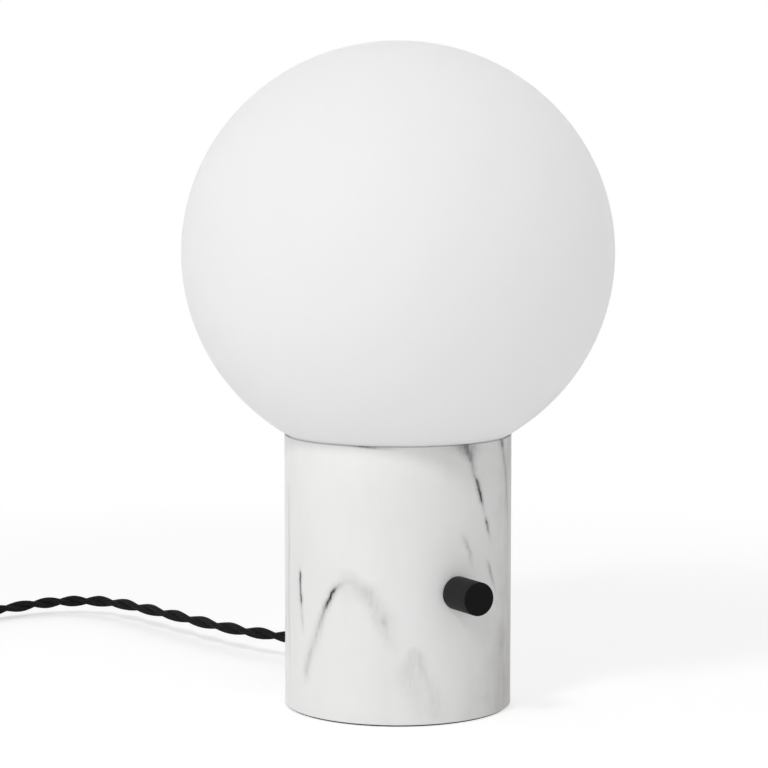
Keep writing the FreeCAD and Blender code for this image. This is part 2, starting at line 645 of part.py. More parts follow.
node("cord_gland", turned("cord_gland", [
    ("cord_radius + cord_play", "-glandNutFace - gland_nut_thick - gland_tail"),
    ("gland_radius", "-glandNutFace - gland_nut_thick - gland_tail"), ("gland_radius", "0"),
    ("gland_flange", "0"), ("gland_flange", "gland_lip"), ("relief_root", "gland_lip"),
    ("relief_tip", "gland_lip + relief_length"), ("cord_radius + cord_play", "gland_lip + relief_length"),
], cordSeat, outwardCord))
node("gland_nut", hexNut("gland_nut", "gland_nut_flats", "gland_nut_thick", "gland_radius + shaft_play",
                         ("0", "base_radius - glandNutFace - gland_nut_thick", "cord_level"),
                         outwardCord))
node("cord_inner", primitive("Cylinder", "cord_inner", ("0", "innerEnd", "cord_level"), outwardCord,
                             Radius="cord_radius", Height="cordFace - innerEnd"))


def clampGroove(name):
    return primitive("Cylinder", name, ("0", "clampPlace - clamp_depth", "cord_level"), outwardCord,
                     Radius="cord_radius + clamp_fit", Height="2 * clamp_depth")


clampSides = {"left": "-clamp_screw_offset", "right": "clamp_screw_offset"}


def clampHoles(name):
    return [
        primitive("Cylinder", f"{name}_{side}_hole", (across, "clampPlace", "plateTop"),
                  Radius="clamp_screw_radius + clamp_fit", Height="clampTop")
        for side, across in clampSides.items()
    ]


clampLow = block("clamp_low", "clamp_width", "clamp_depth", "cord_level - plateTop",
                 ("0", "clampPlace"), "plateTop")
node("clamp_base", less("clamp_base", clampLow, [clampGroove("clamp_low_groove"), *clampHoles("low")]))
clampHigh = block("clamp_high", "clamp_width", "clamp_depth", "clampTop - cord_level - clamp_gap",
                  ("0", "clampPlace"), "cord_level + clamp_gap")
node("clamp_saddle", less("clamp_saddle", clampHigh,
                          [clampGroove("clamp_high_groove"), *clampHoles("high")]))
node("clamp_screws", joined("clamp_screws", [
    turned(f"clamp_screw_{side}", [
        ("0", "plateTop"), ("clamp_screw_radius", "plateTop"), ("clamp_screw_radius", "clampTop"),
        ("clamp_head_radius", "clampTop"), ("clamp_head_radius", "clampTop + clamp_head_tall"),
        ("0", "clampTop + clamp_head_tall"),
    ], (across, "clampPlace", "0"))
    for side, across in clampSides.items()
]))


# Terminal block with its brass sleeves and screws.

blockSides = {"left": "-block_offset", "right": "block_offset"}
blockBody = block("block_body", "block_width", "block_depth", "block_tall", ("0", "block_place"),
                  "plateTop")


def blockWays(name, radius, low, tall):
    return [
        primitive("Cylinder", f"{name}_{side}", (across, low, "wireLevel"), outwardCord,
                  Radius=radius, Height=tall)
        for side, across in blockSides.items()
    ]


def blockScrews(name, radius):
    return [
        primitive("Cylinder", f"{name}_{side}", (across, "block_place", "wireLevel + sleeve_radius"),
                  Radius=radius, Height="block_tall - block_wire_level - sleeve_radius")
        for side, across in blockSides.items()
    ]


node("terminal_block", less("terminal_block", blockBody, [
    *blockWays("block_way", "sleeve_radius + sleeve_fit", "blockFront - sleeve_inset",
               "block_depth + 2 * sleeve_inset"),
    *blockScrews("block_screw_hole", "block_screw_radius + sleeve_fit"),
]))
node("terminal_sleeves", less(
    "terminal_sleeves",
    joined("sleeve_blanks", blockWays("sleeve_blank", "sleeve_radius", "blockFront + sleeve_inset",
                                      "block_depth - 2 * sleeve_inset")),
    blockWays("sleeve_hole", "sleeve_bore", "blockFront", "block_depth")))
node("terminal_screws", joined("terminal_screws", blockScrews("block_screw", "block_screw_radius")))

doc.recompute()


# Inner wires, from the cord through the block, the dimmer and the pipe to the lampholder.

cordRadius = size("cord_radius")
wireRadius = size("wire_radius")
wireStep = size("wire_step")
wireLevel = size("wireLevel")
blockOffset = size("block_offset")
cordLevel = size("cord_level")
postOffset = size("post_offset")
postTip = -(size("panelPlane") + size("postFoot"))
postLevel = size("knob_level") - size("post_drop")
pipeOffset = size("pipe_bore") / 2 - 0.3
pipeFoot = size("pipeFoot")
terminalLevel = size("insertFoot") - size("terminal_tall")
terminalOffset = size("terminal_offset")
pipeTop = size("dishFloor") + size("pipe_up")


def wire(label, points):
    path, radii = bentPath([Vector(*point) for point in points])
    return feature(label, tubeOn(path, wireRadius))


def holderEnd(side):
    # The last stretch of a wire: up the pipe, out over its top and up to a terminal.
    return [
        (side * pipeOffset, 0, pipeFoot - 3 * wireStep),
        (side * (pipeOffset + 0.1), 0, pipeFoot + 1.5 * wireStep),
        (side * (pipeOffset + 0.2), 0, pipeTop + 0.425 * wireStep),
        (side * terminalOffset, 0, terminalLevel - 0.75 * wireStep),
        (side * terminalOffset, 0, terminalLevel),
    ]


wireDepth = size("sleeve_inset") + 0.75 * wireStep
coreOffset = cordRadius / 2
supplyPaths = []
for side in (-1, 1):
    supplyPaths.append(bentPath([
        Vector(side * coreOffset, size("innerEnd"), cordLevel),
        Vector(side * coreOffset, size("innerEnd") - 1.25 * wireStep, cordLevel),
        Vector(side * blockOffset, size("blockBack") + 0.75 * wireStep, wireLevel),
        Vector(side * blockOffset, size("blockBack") - wireDepth, wireLevel),
    ])[0])
feature("supply_cores", Part.makeCompound([tubeOn(path, wireRadius) for path in supplyPaths]))

blockFront = size("blockFront") + wireDepth
wire("wire_live", [
    (-blockOffset, blockFront, wireLevel), (-blockOffset, blockFront - 3 * wireStep, wireLevel),
    (-blockOffset - 0.75 * wireStep, blockFront - 6.5 * wireStep, wireLevel + 3 * wireStep),
    (-blockOffset - wireStep, postTip + 3.5 * wireStep, postLevel - 5.5 * wireStep),
    (-postOffset, postTip + 2.25 * wireStep, postLevel), (-postOffset, postTip, postLevel),
])
wire("wire_dimmed", [
    (postOffset, postTip, postLevel), (postOffset, postTip + 2.25 * wireStep, postLevel),
    (postOffset + 0.5 * wireStep, postTip + 4 * wireStep, postLevel + 5 * wireStep),
    (pipeOffset + 1.25 * wireStep, -2 * wireStep, pipeFoot - 8 * wireStep),
    *holderEnd(1),
])
wire("wire_neutral", [
    (blockOffset, blockFront, wireLevel), (blockOffset, blockFront - 3 * wireStep, wireLevel),
    (blockOffset - 0.75 * wireStep, blockFront - 6 * wireStep, wireLevel + 3.5 * wireStep),
    (-wireStep, -2.5 * wireStep, wireLevel + 10 * wireStep),
    (-pipeOffset - wireStep, wireStep, pipeFoot - 10 * wireStep), *holderEnd(-1),
])


# Free stretch of the cord: its corners are chosen by hand, measured from the tip of the strain relief
# and with heights above the table.

cordFace = size("cordFace")
cordCorners = [
    (0, 0, cordLevel), (0, 20.5, cordLevel), (-1.5, 45.5, 15.5), (-20, 85.5, 15.0), (-32, 170.5, 13.6),
    (-38, 222.5, 11.8), (-48, 250.5, 10.3), (-76, 268.5, 8.5), (-131, 263.5, 6.0),
    (-169, 227.5, size("coilLow")), (-183, 203.5, size("coilLow")),
]
leadPoints = [Vector(x, cordFace + y, z) for x, y, z in cordCorners]
leadPath, leadRadii = bentPath(leadPoints)
feature("cord_lead", tubeOn(leadPath, cordRadius))
print("cord lead", round(leadPath.Length), "mm, bend radii", [round(radius) for radius in leadRadii])


# Coil of the spare cord: it spirals in on the table, climbs a layer and spirals out again on top.
# In its own frame it starts on +X, runs clockwise and ends on -X.

coilRadius = size("coil_radius")
coilPitch = size("coilPitch")
coilLow = size("coilLow")
coilEnd = 2 * math.pi * size("coil_turns")
reversal = coilEnd / 2


def coilPlace(angle):
    # The middle of the cord after winding through an angle, and the way it runs there.
    inward = min(angle, coilEnd - angle)
    radius = coilRadius - coilPitch * inward / (2 * math.pi)
    spread = -coilPitch / (2 * math.pi) * (1 if angle < reversal else -1)
    if angle in (0, reversal, coilEnd):
        spread = 0
    climb = min(max((angle - reversal) / math.pi + 0.5, 0), 1)
    level = coilLow + coilPitch * climb ** 2 * (3 - 2 * climb)
    rise = coilPitch * 6 * climb * (1 - climb) / math.pi
    outward = Vector(math.cos(angle), -math.sin(angle), 0)
    along = Vector(-math.sin(angle), -math.cos(angle), 0)
    heading = outward * spread + along * radius + Vector(0, 0, rise)
    return outward * radius + Vector(0, 0, level), heading.normalize()


def arcTo(start, heading, end):
    # The arc that leaves a point along a heading and ends at another point.
    chord = end - start
    side = chord - heading * chord.dot(heading)
    if side.Length < 1e-6:
        return Part.LineSegment(start, end).toShape()
    side.normalize()
    radius = chord.Length ** 2 / (2 * chord.dot(side))
    centre = start + side * radius
    middle = centre + ((start + end) * 0.5 - centre).normalize() * radius
    return Part.Arc(start, middle, end).toShape()


def biarc(start, heading, end, headingEnd):
    # Two arcs that meet smoothly between two points with given headings.
    chord = end - start
    both = heading + headingEnd
    slack = 2 * (1 - heading.dot(headingEnd))
    along = chord.dot(both)
    reach = (-along + math.sqrt(along ** 2 + slack * chord.dot(chord))) / slack
    middle = (start + heading * reach + end - headingEnd * reach) * 0.5
    back = arcTo(end, headingEnd * -1, middle)
    return [arcTo(start, heading, middle), Part.Arc(
        back.Vertexes[1].Point, back.valueAt((back.FirstParameter + back.LastParameter) / 2),
        back.Vertexes[0].Point).toShape()]


quarters = int(round(4 * size("coil_turns")))
coilStart, startHeading = coilPlace(0)
coilStop, stopHeading = coilPlace(coilEnd)
coilEdges = [Part.LineSegment(coilStart - startHeading * size("coil_lead"), coilStart).toShape()]
for quarter in range(quarters):
    here = coilPlace(coilEnd * quarter / quarters)
    there = coilPlace(coilEnd * (quarter + 1) / quarters)
    coilEdges += biarc(*here, *there)
coilEdges.append(Part.LineSegment(coilStop, coilStop + stopHeading * size("coil_tail")).toShape())
coilPath = Part.Wire(coilEdges)


def leastGap(path, diameter):
    # The least clear distance between stretches of a path that are not neighbours along it.
    step = diameter / 4
    points = path.discretize(Distance=step)
    apart = int(2.5 * diameter / step)
    least = min(
        (first - second).Length
        for index, first in enumerate(points)
        for second in points[index + apart:]
    )
    return least - diameter


print("cord coil", round(coilPath.Length), "mm, least gap", round(leastGap(coilPath, 2 * cordRadius), 2))

# The coil takes up the cord where the free stretch ends, in line with its last run.
lastRun = leadPoints[-1] - leadPoints[-2]
coilBearing = math.degrees(math.atan2(lastRun.y, lastRun.x)) + 90
coilTurn = Rotation(Vector(0, 0, 1), coilBearing)
coilOffset = coilTurn.multVec(Vector(coilRadius, size("coil_lead"), 0))
coilCentre = Vector(leadPoints[-1].x, leadPoints[-1].y, 0) - coilOffset
coilSeat = Placement(coilCentre, coilTurn)
coil = feature("cord_coil", tubeOn(coilPath, cordRadius))
coil.Placement = coilSeat
print("cord in all", round(leadPath.Length + coilPath.Length + cordFace - size("innerEnd")), "mm")


def onCoil(thing, local, turn=None):
    # Seats an object in the coil's frame.
    thing.Placement = coilSeat.multiply(Placement(local, turn or Rotation()))
    return thing


# Tie strap round the bundle, on the side away from the cord's two ends.

tieThick = size("tie_thick")
tiePlay = size("tie_play")
tieInner = size("coilInner") - cordRadius - coilPitch / 4 - tiePlay
tieOuter = coilRadius + cordRadius + tiePlay
tieTall = size("coilHigh") + cordRadius + tiePlay


def tieBox(name, grow, lengthen):
    thing = doc.addObject("Part::Box", name)
    thing.setExpression("Length", bound(f"coil_radius - coilInner + coilPitch / 4 + 2 * cord_radius "
                                        f"+ 2 * tie_play + {grow} * 2 * tie_thick"))
    thing.setExpression("Width", bound(f"tie_width + {lengthen}"))
    thing.setExpression("Height", bound(f"coilHigh + cord_radius + tie_play - tie_thick "
                                        f"+ {grow} * 2 * tie_thick"))
    local = Vector(tieInner - grow * tieThick, -(size("tie_width") + lengthen) / 2, (1 - grow) * tieThick)
    return onCoil(thing, Rotation(Vector(0, 0, 1), -90).multVec(local), Rotation(Vector(0, 0, 1), -90))


node("coil_tie", less("coil_tie", tieBox("tie_outside", 1, 0), [tieBox("tie_inside", 0, 2)]))


# Plug: guard, body and two blades, in line with the coil's outer end and standing on the table.

tailEnd = coilStop + stopHeading * size("coil_tail")
alongPlug = Rotation(Vector(1, 0, 0), -90)


def plugPlace(across, along, turn=None):
    local = Vector(tailEnd.x + across, tailEnd.y + along, tailEnd.z)
    return coilSeat.multiply(Placement(local, turn or Rotation()))


guard = doc.addObject("Part::Cone", "plug_guard")
guard.setExpression("Radius1", bound("cord_radius + guard_step"))
guard.setExpression("Radius2", bound("guard_radius"))
guard.setExpression("Height", bound("guard_length"))
guard.Placement = plugPlace(0, 0, alongPlug)
node("plug_guard", guard)

plugBox = doc.addObject("PartDesign::Body", "plug_block")
plugSketch = sketchOn(plugBox, "plug_outline", "XZ_Plane")
halfWide = "plug_width / 2"
drawOutline(plugSketch, [
    (f"-{halfWide}", "-coilHigh"), (halfWide, "-coilHigh"), (halfWide, "coilHigh"),
    (f"-{halfWide}", "coilHigh"),
])
plugPad = plugBox.newObject("PartDesign::Pad", "plug_pad")
plugPad.Profile = plugSketch
plugPad.setExpression("Length", bound("plug_length"))
plugPad.Reversed = True
doc.recompute()
longEdges = [
    f"Edge{index}" for index, edge in enumerate(plugPad.Shape.Edges, start=1)
    if abs(edge.tangentAt(edge.FirstParameter).y) > 0.9
]
plugFillet = plugBox.newObject("PartDesign::Fillet", "plug_edges")
plugFillet.Base = (plugPad, longEdges)
plugFillet.setExpression("Radius", bound("plug_round"))
plugBox.Placement = plugPlace(0, size("guard_length"))


def bladeBox(name, side, play):
    # One blade, or the slot that it stands in.
    blade = doc.addObject("Part::Box", name)
    blade.setExpression("Length", bound(f"blade_thick + 2 * {play}"))
    blade.setExpression("Width", bound("blade_length + blade_root"))
    blade.setExpression("Height", bound(f"blade_width + 2 * {play}"))
    across = side * size("blade_spacing") / 2 - size("blade_thick") / 2 - play
    along = size("guard_length") + size("plug_length") - size("blade_root")
    blade.Placement = plugPlace(across, along).multiply(
        Placement(Vector(0, 0, -size("blade_width") / 2 - play), Rotation()))
    return blade


plugSides = {"left": -1, "right": 1}
node("plug_body", less("plug_body", plugBox, [
    bladeBox(f"slot_{name}", side, size("blade_fit"))
    for name, side in plugSides.items()
]))
node("plug_blades", joined("plug_blades", [
    bladeBox(f"blade_{name}", side, 0) for name, side in plugSides.items()
]))


# Every object is checked before any file is written.

doc.recompute()
for thing in doc.Objects:
    faults = {"Invalid", "Error"} & set(thing.State)
    if faults:
        raise ValueError(f"{thing.Name} is {sorted(faults)}")
for label, thing in nodes.items():
    if thing.Shape.isNull() or not thing.Shape.isValid() or thing.Shape.Volume <= 0:
        raise ValueError(f"{label} has no sound shape")

os.makedirs("parts", exist_ok=True)
for label, thing in nodes.items():
    thing.Shape.exportStep(f"parts/{label}.step")
print(len(nodes), "nodes")
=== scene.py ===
import bpy
import json
import math
from mathutils import Matrix, Quaternion, Vector


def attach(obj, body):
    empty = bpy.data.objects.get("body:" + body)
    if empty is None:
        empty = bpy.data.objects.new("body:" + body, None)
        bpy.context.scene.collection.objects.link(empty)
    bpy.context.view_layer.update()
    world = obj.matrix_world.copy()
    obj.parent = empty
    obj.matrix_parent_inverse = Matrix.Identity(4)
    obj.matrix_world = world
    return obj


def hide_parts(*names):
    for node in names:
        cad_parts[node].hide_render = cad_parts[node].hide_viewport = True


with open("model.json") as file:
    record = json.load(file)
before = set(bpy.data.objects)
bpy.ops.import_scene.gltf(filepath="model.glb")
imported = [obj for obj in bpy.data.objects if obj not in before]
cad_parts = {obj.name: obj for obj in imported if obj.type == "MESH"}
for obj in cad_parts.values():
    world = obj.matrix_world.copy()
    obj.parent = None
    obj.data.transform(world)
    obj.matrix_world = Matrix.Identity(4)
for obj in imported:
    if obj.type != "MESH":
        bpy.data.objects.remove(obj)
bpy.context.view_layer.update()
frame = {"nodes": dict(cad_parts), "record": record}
print("globe lamp: frame loaded with", len(frame["nodes"]), "nodes")

scene = bpy.context.scene
scene.view_settings.view_transform = "Standard"


# Working helpers

def selectNothing():
    if bpy.context.object and bpy.context.object.mode != "OBJECT":
        bpy.ops.object.mode_set(mode="OBJECT")
    bpy.ops.object.select_all(action="DESELECT")


def pickUp(piece):
    selectNothing()
    piece.select_set(True)
    bpy.context.view_layer.objects.active = piece
    return piece


def settle(piece):
    # Puts a piece's place, turn and size into its mesh.
    pickUp(piece)
    bpy.ops.object.transform_apply(location=True, rotation=True, scale=True)
    return piece


def smooth(piece, degrees=35):
    pickUp(piece)
    bpy.ops.object.shade_smooth_by_angle(angle=math.radians(degrees))
    return piece


def finishModifier(piece, kind, **settings):
    modifier = piece.modifiers.new(kind.lower(), kind)
    for name, value in settings.items():
        setattr(modifier, name, value)
    pickUp(piece)
    bpy.ops.object.modifier_apply(modifier=modifier.name)


def tidyMesh(piece, outward=True):
    pickUp(piece)
    bpy.ops.object.mode_set(mode="EDIT")
    bpy.ops.mesh.select_all(action="SELECT")
    bpy.ops.mesh.remove_doubles(threshold=0.000002)
    if outward:
        bpy.ops.mesh.normals_make_consistent(inside=False)
    bpy.ops.object.mode_set(mode="OBJECT")


def turnedPiece(name, rings, sides=128, closed=True):
    # A circle whose open edge is extruded from ring to ring; each ring is (radius, level).
    selectNothing()
    radius, level = rings[0]
    bpy.ops.mesh.primitive_circle_add(vertices=sides, radius=radius, location=(0, 0, level))
    piece = settle(bpy.context.object)
    piece.name = name
    bpy.ops.object.mode_set(mode="EDIT")
    bpy.ops.mesh.select_all(action="SELECT")
    course = rings[1:] + rings[:1] if closed else rings[1:]
    for newRadius, newLevel in course:
        bpy.ops.mesh.extrude_edges_move(TRANSFORM_OT_translate={"value": (0, 0, newLevel - level)})
        if newRadius != radius:
            grow = newRadius / radius
            bpy.ops.transform.resize(value=(grow, grow, 1), center_override=(0, 0, newLevel))
        radius, level = newRadius, newLevel
    bpy.ops.object.mode_set(mode="OBJECT")
    tidyMesh(piece)
    return piece


def capEnds(piece):
    # Fills every open ring with a flat face.
    pickUp(piece)
    bpy.ops.object.mode_set(mode="EDIT")
    bpy.ops.mesh.select_mode(type="EDGE")
    bpy.ops.mesh.select_all(action="DESELECT")
    bpy.ops.mesh.select_non_manifold()
    bpy.ops.mesh.edge_face_add()
    bpy.ops.mesh.select_mode(type="VERT")
    bpy.ops.object.mode_set(mode="OBJECT")
    tidyMesh(piece)
    return piece


def lay(piece, turn=(0, 0, 0), place=(0, 0, 0)):
    piece.rotation_euler = [math.radians(angle) for angle in turn]
    piece.location = place
    return settle(piece)


def block(name, place, size):
    selectNothing()
    bpy.ops.mesh.primitive_cube_add(size=1, location=place, scale=size)
    piece = settle(bpy.context.object)
    piece.name = name
    return piece


def roundAlong(piece, axis, size, segments):
    # Rounds a block's edges that run along one axis, and leaves the block in edit mode.
    bpy.ops.object.mode_set(mode="EDIT")
    bpy.ops.mesh.select_mode(type="EDGE")
    bpy.ops.mesh.select_all(action="DESELECT")
    bpy.ops.object.mode_set(mode="OBJECT")
    for edge in piece.data.edges:
        first, second = [piece.data.vertices[index].co for index in edge.vertices]
        edge.select = abs((second - first).normalized()[axis]) > 0.9
    bpy.ops.object.mode_set(mode="EDIT")
    bpy.ops.mesh.bevel(offset=size, segments=segments)


def cutAway(piece, cutter):
    finishModifier(piece, "BOOLEAN", operation="DIFFERENCE", solver="EXACT", object=cutter)
    bpy.data.objects.remove(cutter)


def corner(radius, level, size, start, sweep=90, turns=4):
    # Rings round a rounded corner, from a start angle and through a sweep in degrees.
    angles = [math.radians(start + sweep * step / turns) for step in range(turns + 1)]
    return [(radius + size * math.cos(angle), level + size * math.sin(angle)) for angle in angles]


# Camera, at the photograph's viewing angle

camera = {"lens": 126.09, "place": (-0.7768, -1.3454, 0.3483), "heading": -29.702, "dip": 5.907}

selectNothing()
bpy.ops.object.camera_add(
    location=camera["place"],
    rotation=(math.radians(90 - camera["dip"]), 0, math.radians(camera["heading"])))
cameraObject = bpy.context.object
cameraObject.data.lens = camera["lens"]
cameraObject.data.sensor_width = 36
cameraObject.data.clip_end = 50
scene.camera = cameraObject
print("camera placed")


# Cord: its route, twisted pair, coil of spare length, tie and plug

cord = {
    "radius": 0.0035, "strand": 0.00195, "spread": 0.00178, "ring": 12, "step": 0.0015,
    "lays": [(0, 0.0478), (0.070, 0.0478), (0.105, 0.059), (0.14, 0.0634), (0.228, 0.0634),
             (0.262, 0.040), (0.282, 0.0355), (0.296, 0.036), (0.32, 0.045), (0.45, 0.046)],
    "exit": (0, 0.0875, 0.0165), "length": 1.824, "mapScale": 100,
    "inner": [(0, 0.034, 0.0165), (0, 0.0825, 0.0165)],
    "route": [
        (0, 0.083, 0.0165), (0, 0.108, 0.0165), (-0.0015, 0.133, 0.0155), (-0.020, 0.173, 0.0150),
        (-0.032, 0.258, 0.0136), (-0.038, 0.310, 0.0118), (-0.048, 0.338, 0.0103),
        (-0.076, 0.356, 0.0085), (-0.131, 0.351, 0.0060), (-0.169, 0.315, 0.0047),
        (-0.183, 0.291, 0.0047),
    ],
}
coil = {"radius": 0.050, "turns": 5.5, "pitch": 0.0076, "low": 0.0047, "lead": 0.007, "tail": 0.0285,
        "perTurn": 24}

lastStep = Vector(cord["route"][-1]) - Vector(cord["route"][-2])
coilBearing = math.atan2(lastStep.y, lastStep.x) + math.pi / 2
coilSeat = (Matrix.Translation(Vector((cord["route"][-1][0], cord["route"][-1][1], 0)))
            @ Matrix.Rotation(coilBearing, 4, "Z")
            @ Matrix.Translation(Vector((-coil["radius"], -coil["lead"], 0))))


def coilPoint(angle):
    # The cord's middle in the coil's frame: it winds in, climbs a layer and winds out.
    whole = 2 * math.pi * coil["turns"]
    radius = coil["radius"] - coil["pitch"] * min(angle, whole - angle) / (2 * math.pi)
    climb = min(max((angle - whole / 2) / math.pi + 0.5, 0), 1)
    level = coil["low"] + coil["pitch"] * climb ** 2 * (3 - 2 * climb)
    return Vector((radius * math.cos(angle), -radius * math.sin(angle), level))


coilSteps = round(coil["turns"] * coil["perTurn"])
coilPoints = [coilPoint(2 * math.pi * step / coil["perTurn"]) for step in range(coilSteps + 1)]
tailEnd = coilPoints[-1] + Vector((0, coil["tail"], 0))
cordPoints = ([Vector(point) for point in cord["route"]]
              + [coilSeat @ point for point in coilPoints + [tailEnd]])


def routeLine(points):
    # The points along a smooth open spline with these control points.
    curve = bpy.data.curves.new("route", "CURVE")
    curve.dimensions = "3D"
    curve.resolution_u = 16
    spline = curve.splines.new("NURBS")
    spline.points.add(len(points) - 1)
    for place, point in zip(spline.points, points):
        place.co = (*point, 1)
    spline.order_u = 3
    spline.use_endpoint_u = True
    holder = bpy.data.objects.new("route", curve)
    line = [vertex.co.copy() for vertex in bpy.data.meshes.new_from_object(holder).vertices]
    bpy.data.objects.remove(holder)
    return line


def evenly(line, step):
    # The same line in equal steps.
    lengths = [0.0]
    for before, after in zip(line, line[1:]):
        lengths.append(lengths[-1] + (after - before).length)
    count = round(lengths[-1] / step)
    even, index = [], 0
    for number in range(count + 1):
        at = lengths[-1] * number / count
        while index < len(line) - 2 and lengths[index + 1] < at:
            index += 1
        share = (at - lengths[index]) / (lengths[index + 1] - lengths[index])
        even.append(line[index].lerp(line[index + 1], share))
    return even


def carried(line):
    # Each point of a line with its way ahead and a side direction that doesn't twist round it.
    frames, side = [], Vector((0, 0, 1))
    for index, point in enumerate(line):
        ahead = (line[min(index + 1, len(line) - 1)] - line[max(index - 1, 0)]).normalized()
        side = (side - ahead * side.dot(ahead)).normalized()
        frames.append((point, ahead, side))
    return frames


def strandRings(centres, radius, ring):
    # A ring of points round each point of a line.
    rings, turns = [], [2 * math.pi * step / ring for step in range(ring)]
    for centre, ahead, side in carried(centres):
        other = ahead.cross(side)
        rings.append([centre + (side * math.cos(turn) + other * math.sin(turn)) * radius
                      for turn in turns])
    return rings


def strandMesh(name, strands, radius, ring, step):
    # Tubes along lines, with a map that counts centimetres along each tube and runs once round it.
    corners, faces, marks = [], [], []
    for centres in strands:
        first = len(corners)
        for ringPoints in strandRings(centres, radius, ring):
            corners += ringPoints
        for row in range(len(centres) - 1):
            for column in range(ring):
                nextColumn = (column + 1) % ring
                low, high = first + row * ring, first + (row + 1) * ring
                faces.append((low + column, low + nextColumn, high + nextColumn, high + column))
                marks.append([(row, column), (row, column + 1),
                              (row + 1, column + 1), (row + 1, column)])
        for row, backwards in ((0, True), (len(centres) - 1, False)):
            cap = [first + row * ring + column for column in range(ring)]
            faces.append(tuple(reversed(cap)) if backwards else tuple(cap))
            marks.append([(row, 0)] * ring)
    mesh = bpy.data.meshes.new(name)
    mesh.from_pydata(corners, [], faces)
    layer = mesh.uv_layers.new(name="along")
    for face, spots in zip(mesh.polygons, marks):
        for loop, (row, column) in zip(face.loop_indices, spots):
            layer.data[loop].uv = (row * step * cord["mapScale"], column / ring)
    piece = bpy.data.objects.new(name, mesh)
    scene.collection.objects.link(piece)
    return piece


def layAt(run):
    # How far one full turn of the two cores reaches; it is slacker where the cord runs straight.
    for (low, first), (high, last) in zip(cord["lays"], cord["lays"][1:]):
        if run < high:
            return first + (last - first) * (run - low) / (high - low)
    return cord["lays"][-1][1]


def twistedPair(name, line):
    # Two cloth-covered cores wound round each other along a line.
    middle = evenly(line, cord["step"])
    strands, twist = ([], []), 0.0
    for index, (centre, ahead, side) in enumerate(carried(middle)):
        turn = Quaternion(ahead, twist)
        for strand, way in zip(strands, (1, -1)):
            strand.append(centre + turn @ side * way * cord["spread"])
        twist += 2 * math.pi * cord["step"] / layAt(index * cord["step"])
    piece = strandMesh(name, strands, cord["strand"], cord["ring"], cord["step"])
    return smooth(piece, 60), middle


twistedCord, cordMiddle = twistedPair("twistedCord", routeLine(cordPoints))
innerCord = twistedPair("innerCord", [Vector(point) for point in cord["inner"]])[0]
print("cord made,", round(1000 * sum((b - a).length for a, b in zip(cordMiddle, cordMiddle[1:]))), "mm")

tie = {"width": 0.012, "thick": 0.0009, "inside": 0.0274, "outside": 0.0537, "low": 0.001,
       "high": 0.016, "round": 0.004, "edge": 0.0002}


def tieStrap():
    # A strap folded round the bundle, with rounded corners.
    strap = block("tieStrap",
                  ((tie["inside"] + tie["outside"]) / 2, 0, (tie["low"] + tie["high"]) / 2),
                  (tie["outside"] - tie["inside"], tie["width"], tie["high"] - tie["low"]))
    roundAlong(strap, 1, tie["round"], 6)
    bpy.ops.mesh.select_mode(type="FACE")
    bpy.ops.mesh.select_all(action="DESELECT")
    bpy.ops.object.mode_set(mode="OBJECT")
    for face in strap.data.polygons:
        face.select = abs(face.normal.y) > 0.9
    bpy.ops.object.mode_set(mode="EDIT")
    bpy.ops.mesh.delete(type="FACE")
    bpy.ops.object.mode_set(mode="OBJECT")
    finishModifier(strap, "SOLIDIFY", thickness=tie["thick"], offset=1, use_even_offset=True)
    finishModifier(strap, "BEVEL", width=tie["edge"], segments=2, limit_method="ANGLE")
    strap.data.transform(coilSeat @ Matrix.Rotation(-math.pi / 2, 4, "Z"))
    return smooth(strap, 30)


strap = tieStrap()


def grooves(part, foot):
    # Rings up a taper that starts at its foot, with a row of grooves round it.
    rings = []
    for rib in range(part["ribs"]):
        for share, into in zip(part["groove"], (0, part["deep"], part["deep"], 0)):
            level = part["first"] + part["space"] * (rib + share)
            radius = part["root"] + (part["tip"] - part["root"]) * level / part["long"]
            rings.append((radius - into, foot + level))
    return rings


guard = {"root": 0.0045, "tip": 0.0055, "long": 0.020, "bore": 0.0036, "edge": 0.0002, "seat": 0.027,
         "ribs": 5, "first": 0.0028, "space": 0.00288, "groove": (0, 0.12, 0.42, 0.54), "deep": 0.0007}


def plugSeat(along):
    # The plug's own frame: +Z runs out along the cord, from near the end of the coil's tail.
    tail = coilPoints[-1] + Vector((0, guard["seat"] + along, 0))
    return coilSeat @ Matrix.Translation(tail) @ Matrix.Rotation(math.radians(-90), 4, "X")


def guardSleeve():
    # A ribbed sleeve that widens towards the plug, with a plain lip at each end.
    root, tip, long, bore, edge = [guard[size] for size in ("root", "tip", "long", "bore", "edge")]
    rings = [(bore, 0), (root - edge, 0), (root, edge), *grooves(guard, 0)]
    rings += [(tip, guard["first"] + guard["space"] * guard["ribs"]), (tip, long - edge),
              (tip - edge, long), (bore, long)]
    sleeve = smooth(turnedPiece("plugGuard", rings, 48), 30)
    sleeve.data.transform(plugSeat(0))
    return sleeve


plugGuard = guardSleeve()

plug = {"wide": 0.026, "tall": 0.0246, "long": 0.032, "round": 0.004, "edge": 0.0009,
        "waist": {"level": 0.0125, "reach": 0.0075, "deep": 0.16},
        "grips": {"count": 5, "first": 0.006, "space": 0.0032, "rise": 0.0015, "deep": 0.035,
                  "end": 0.026}}


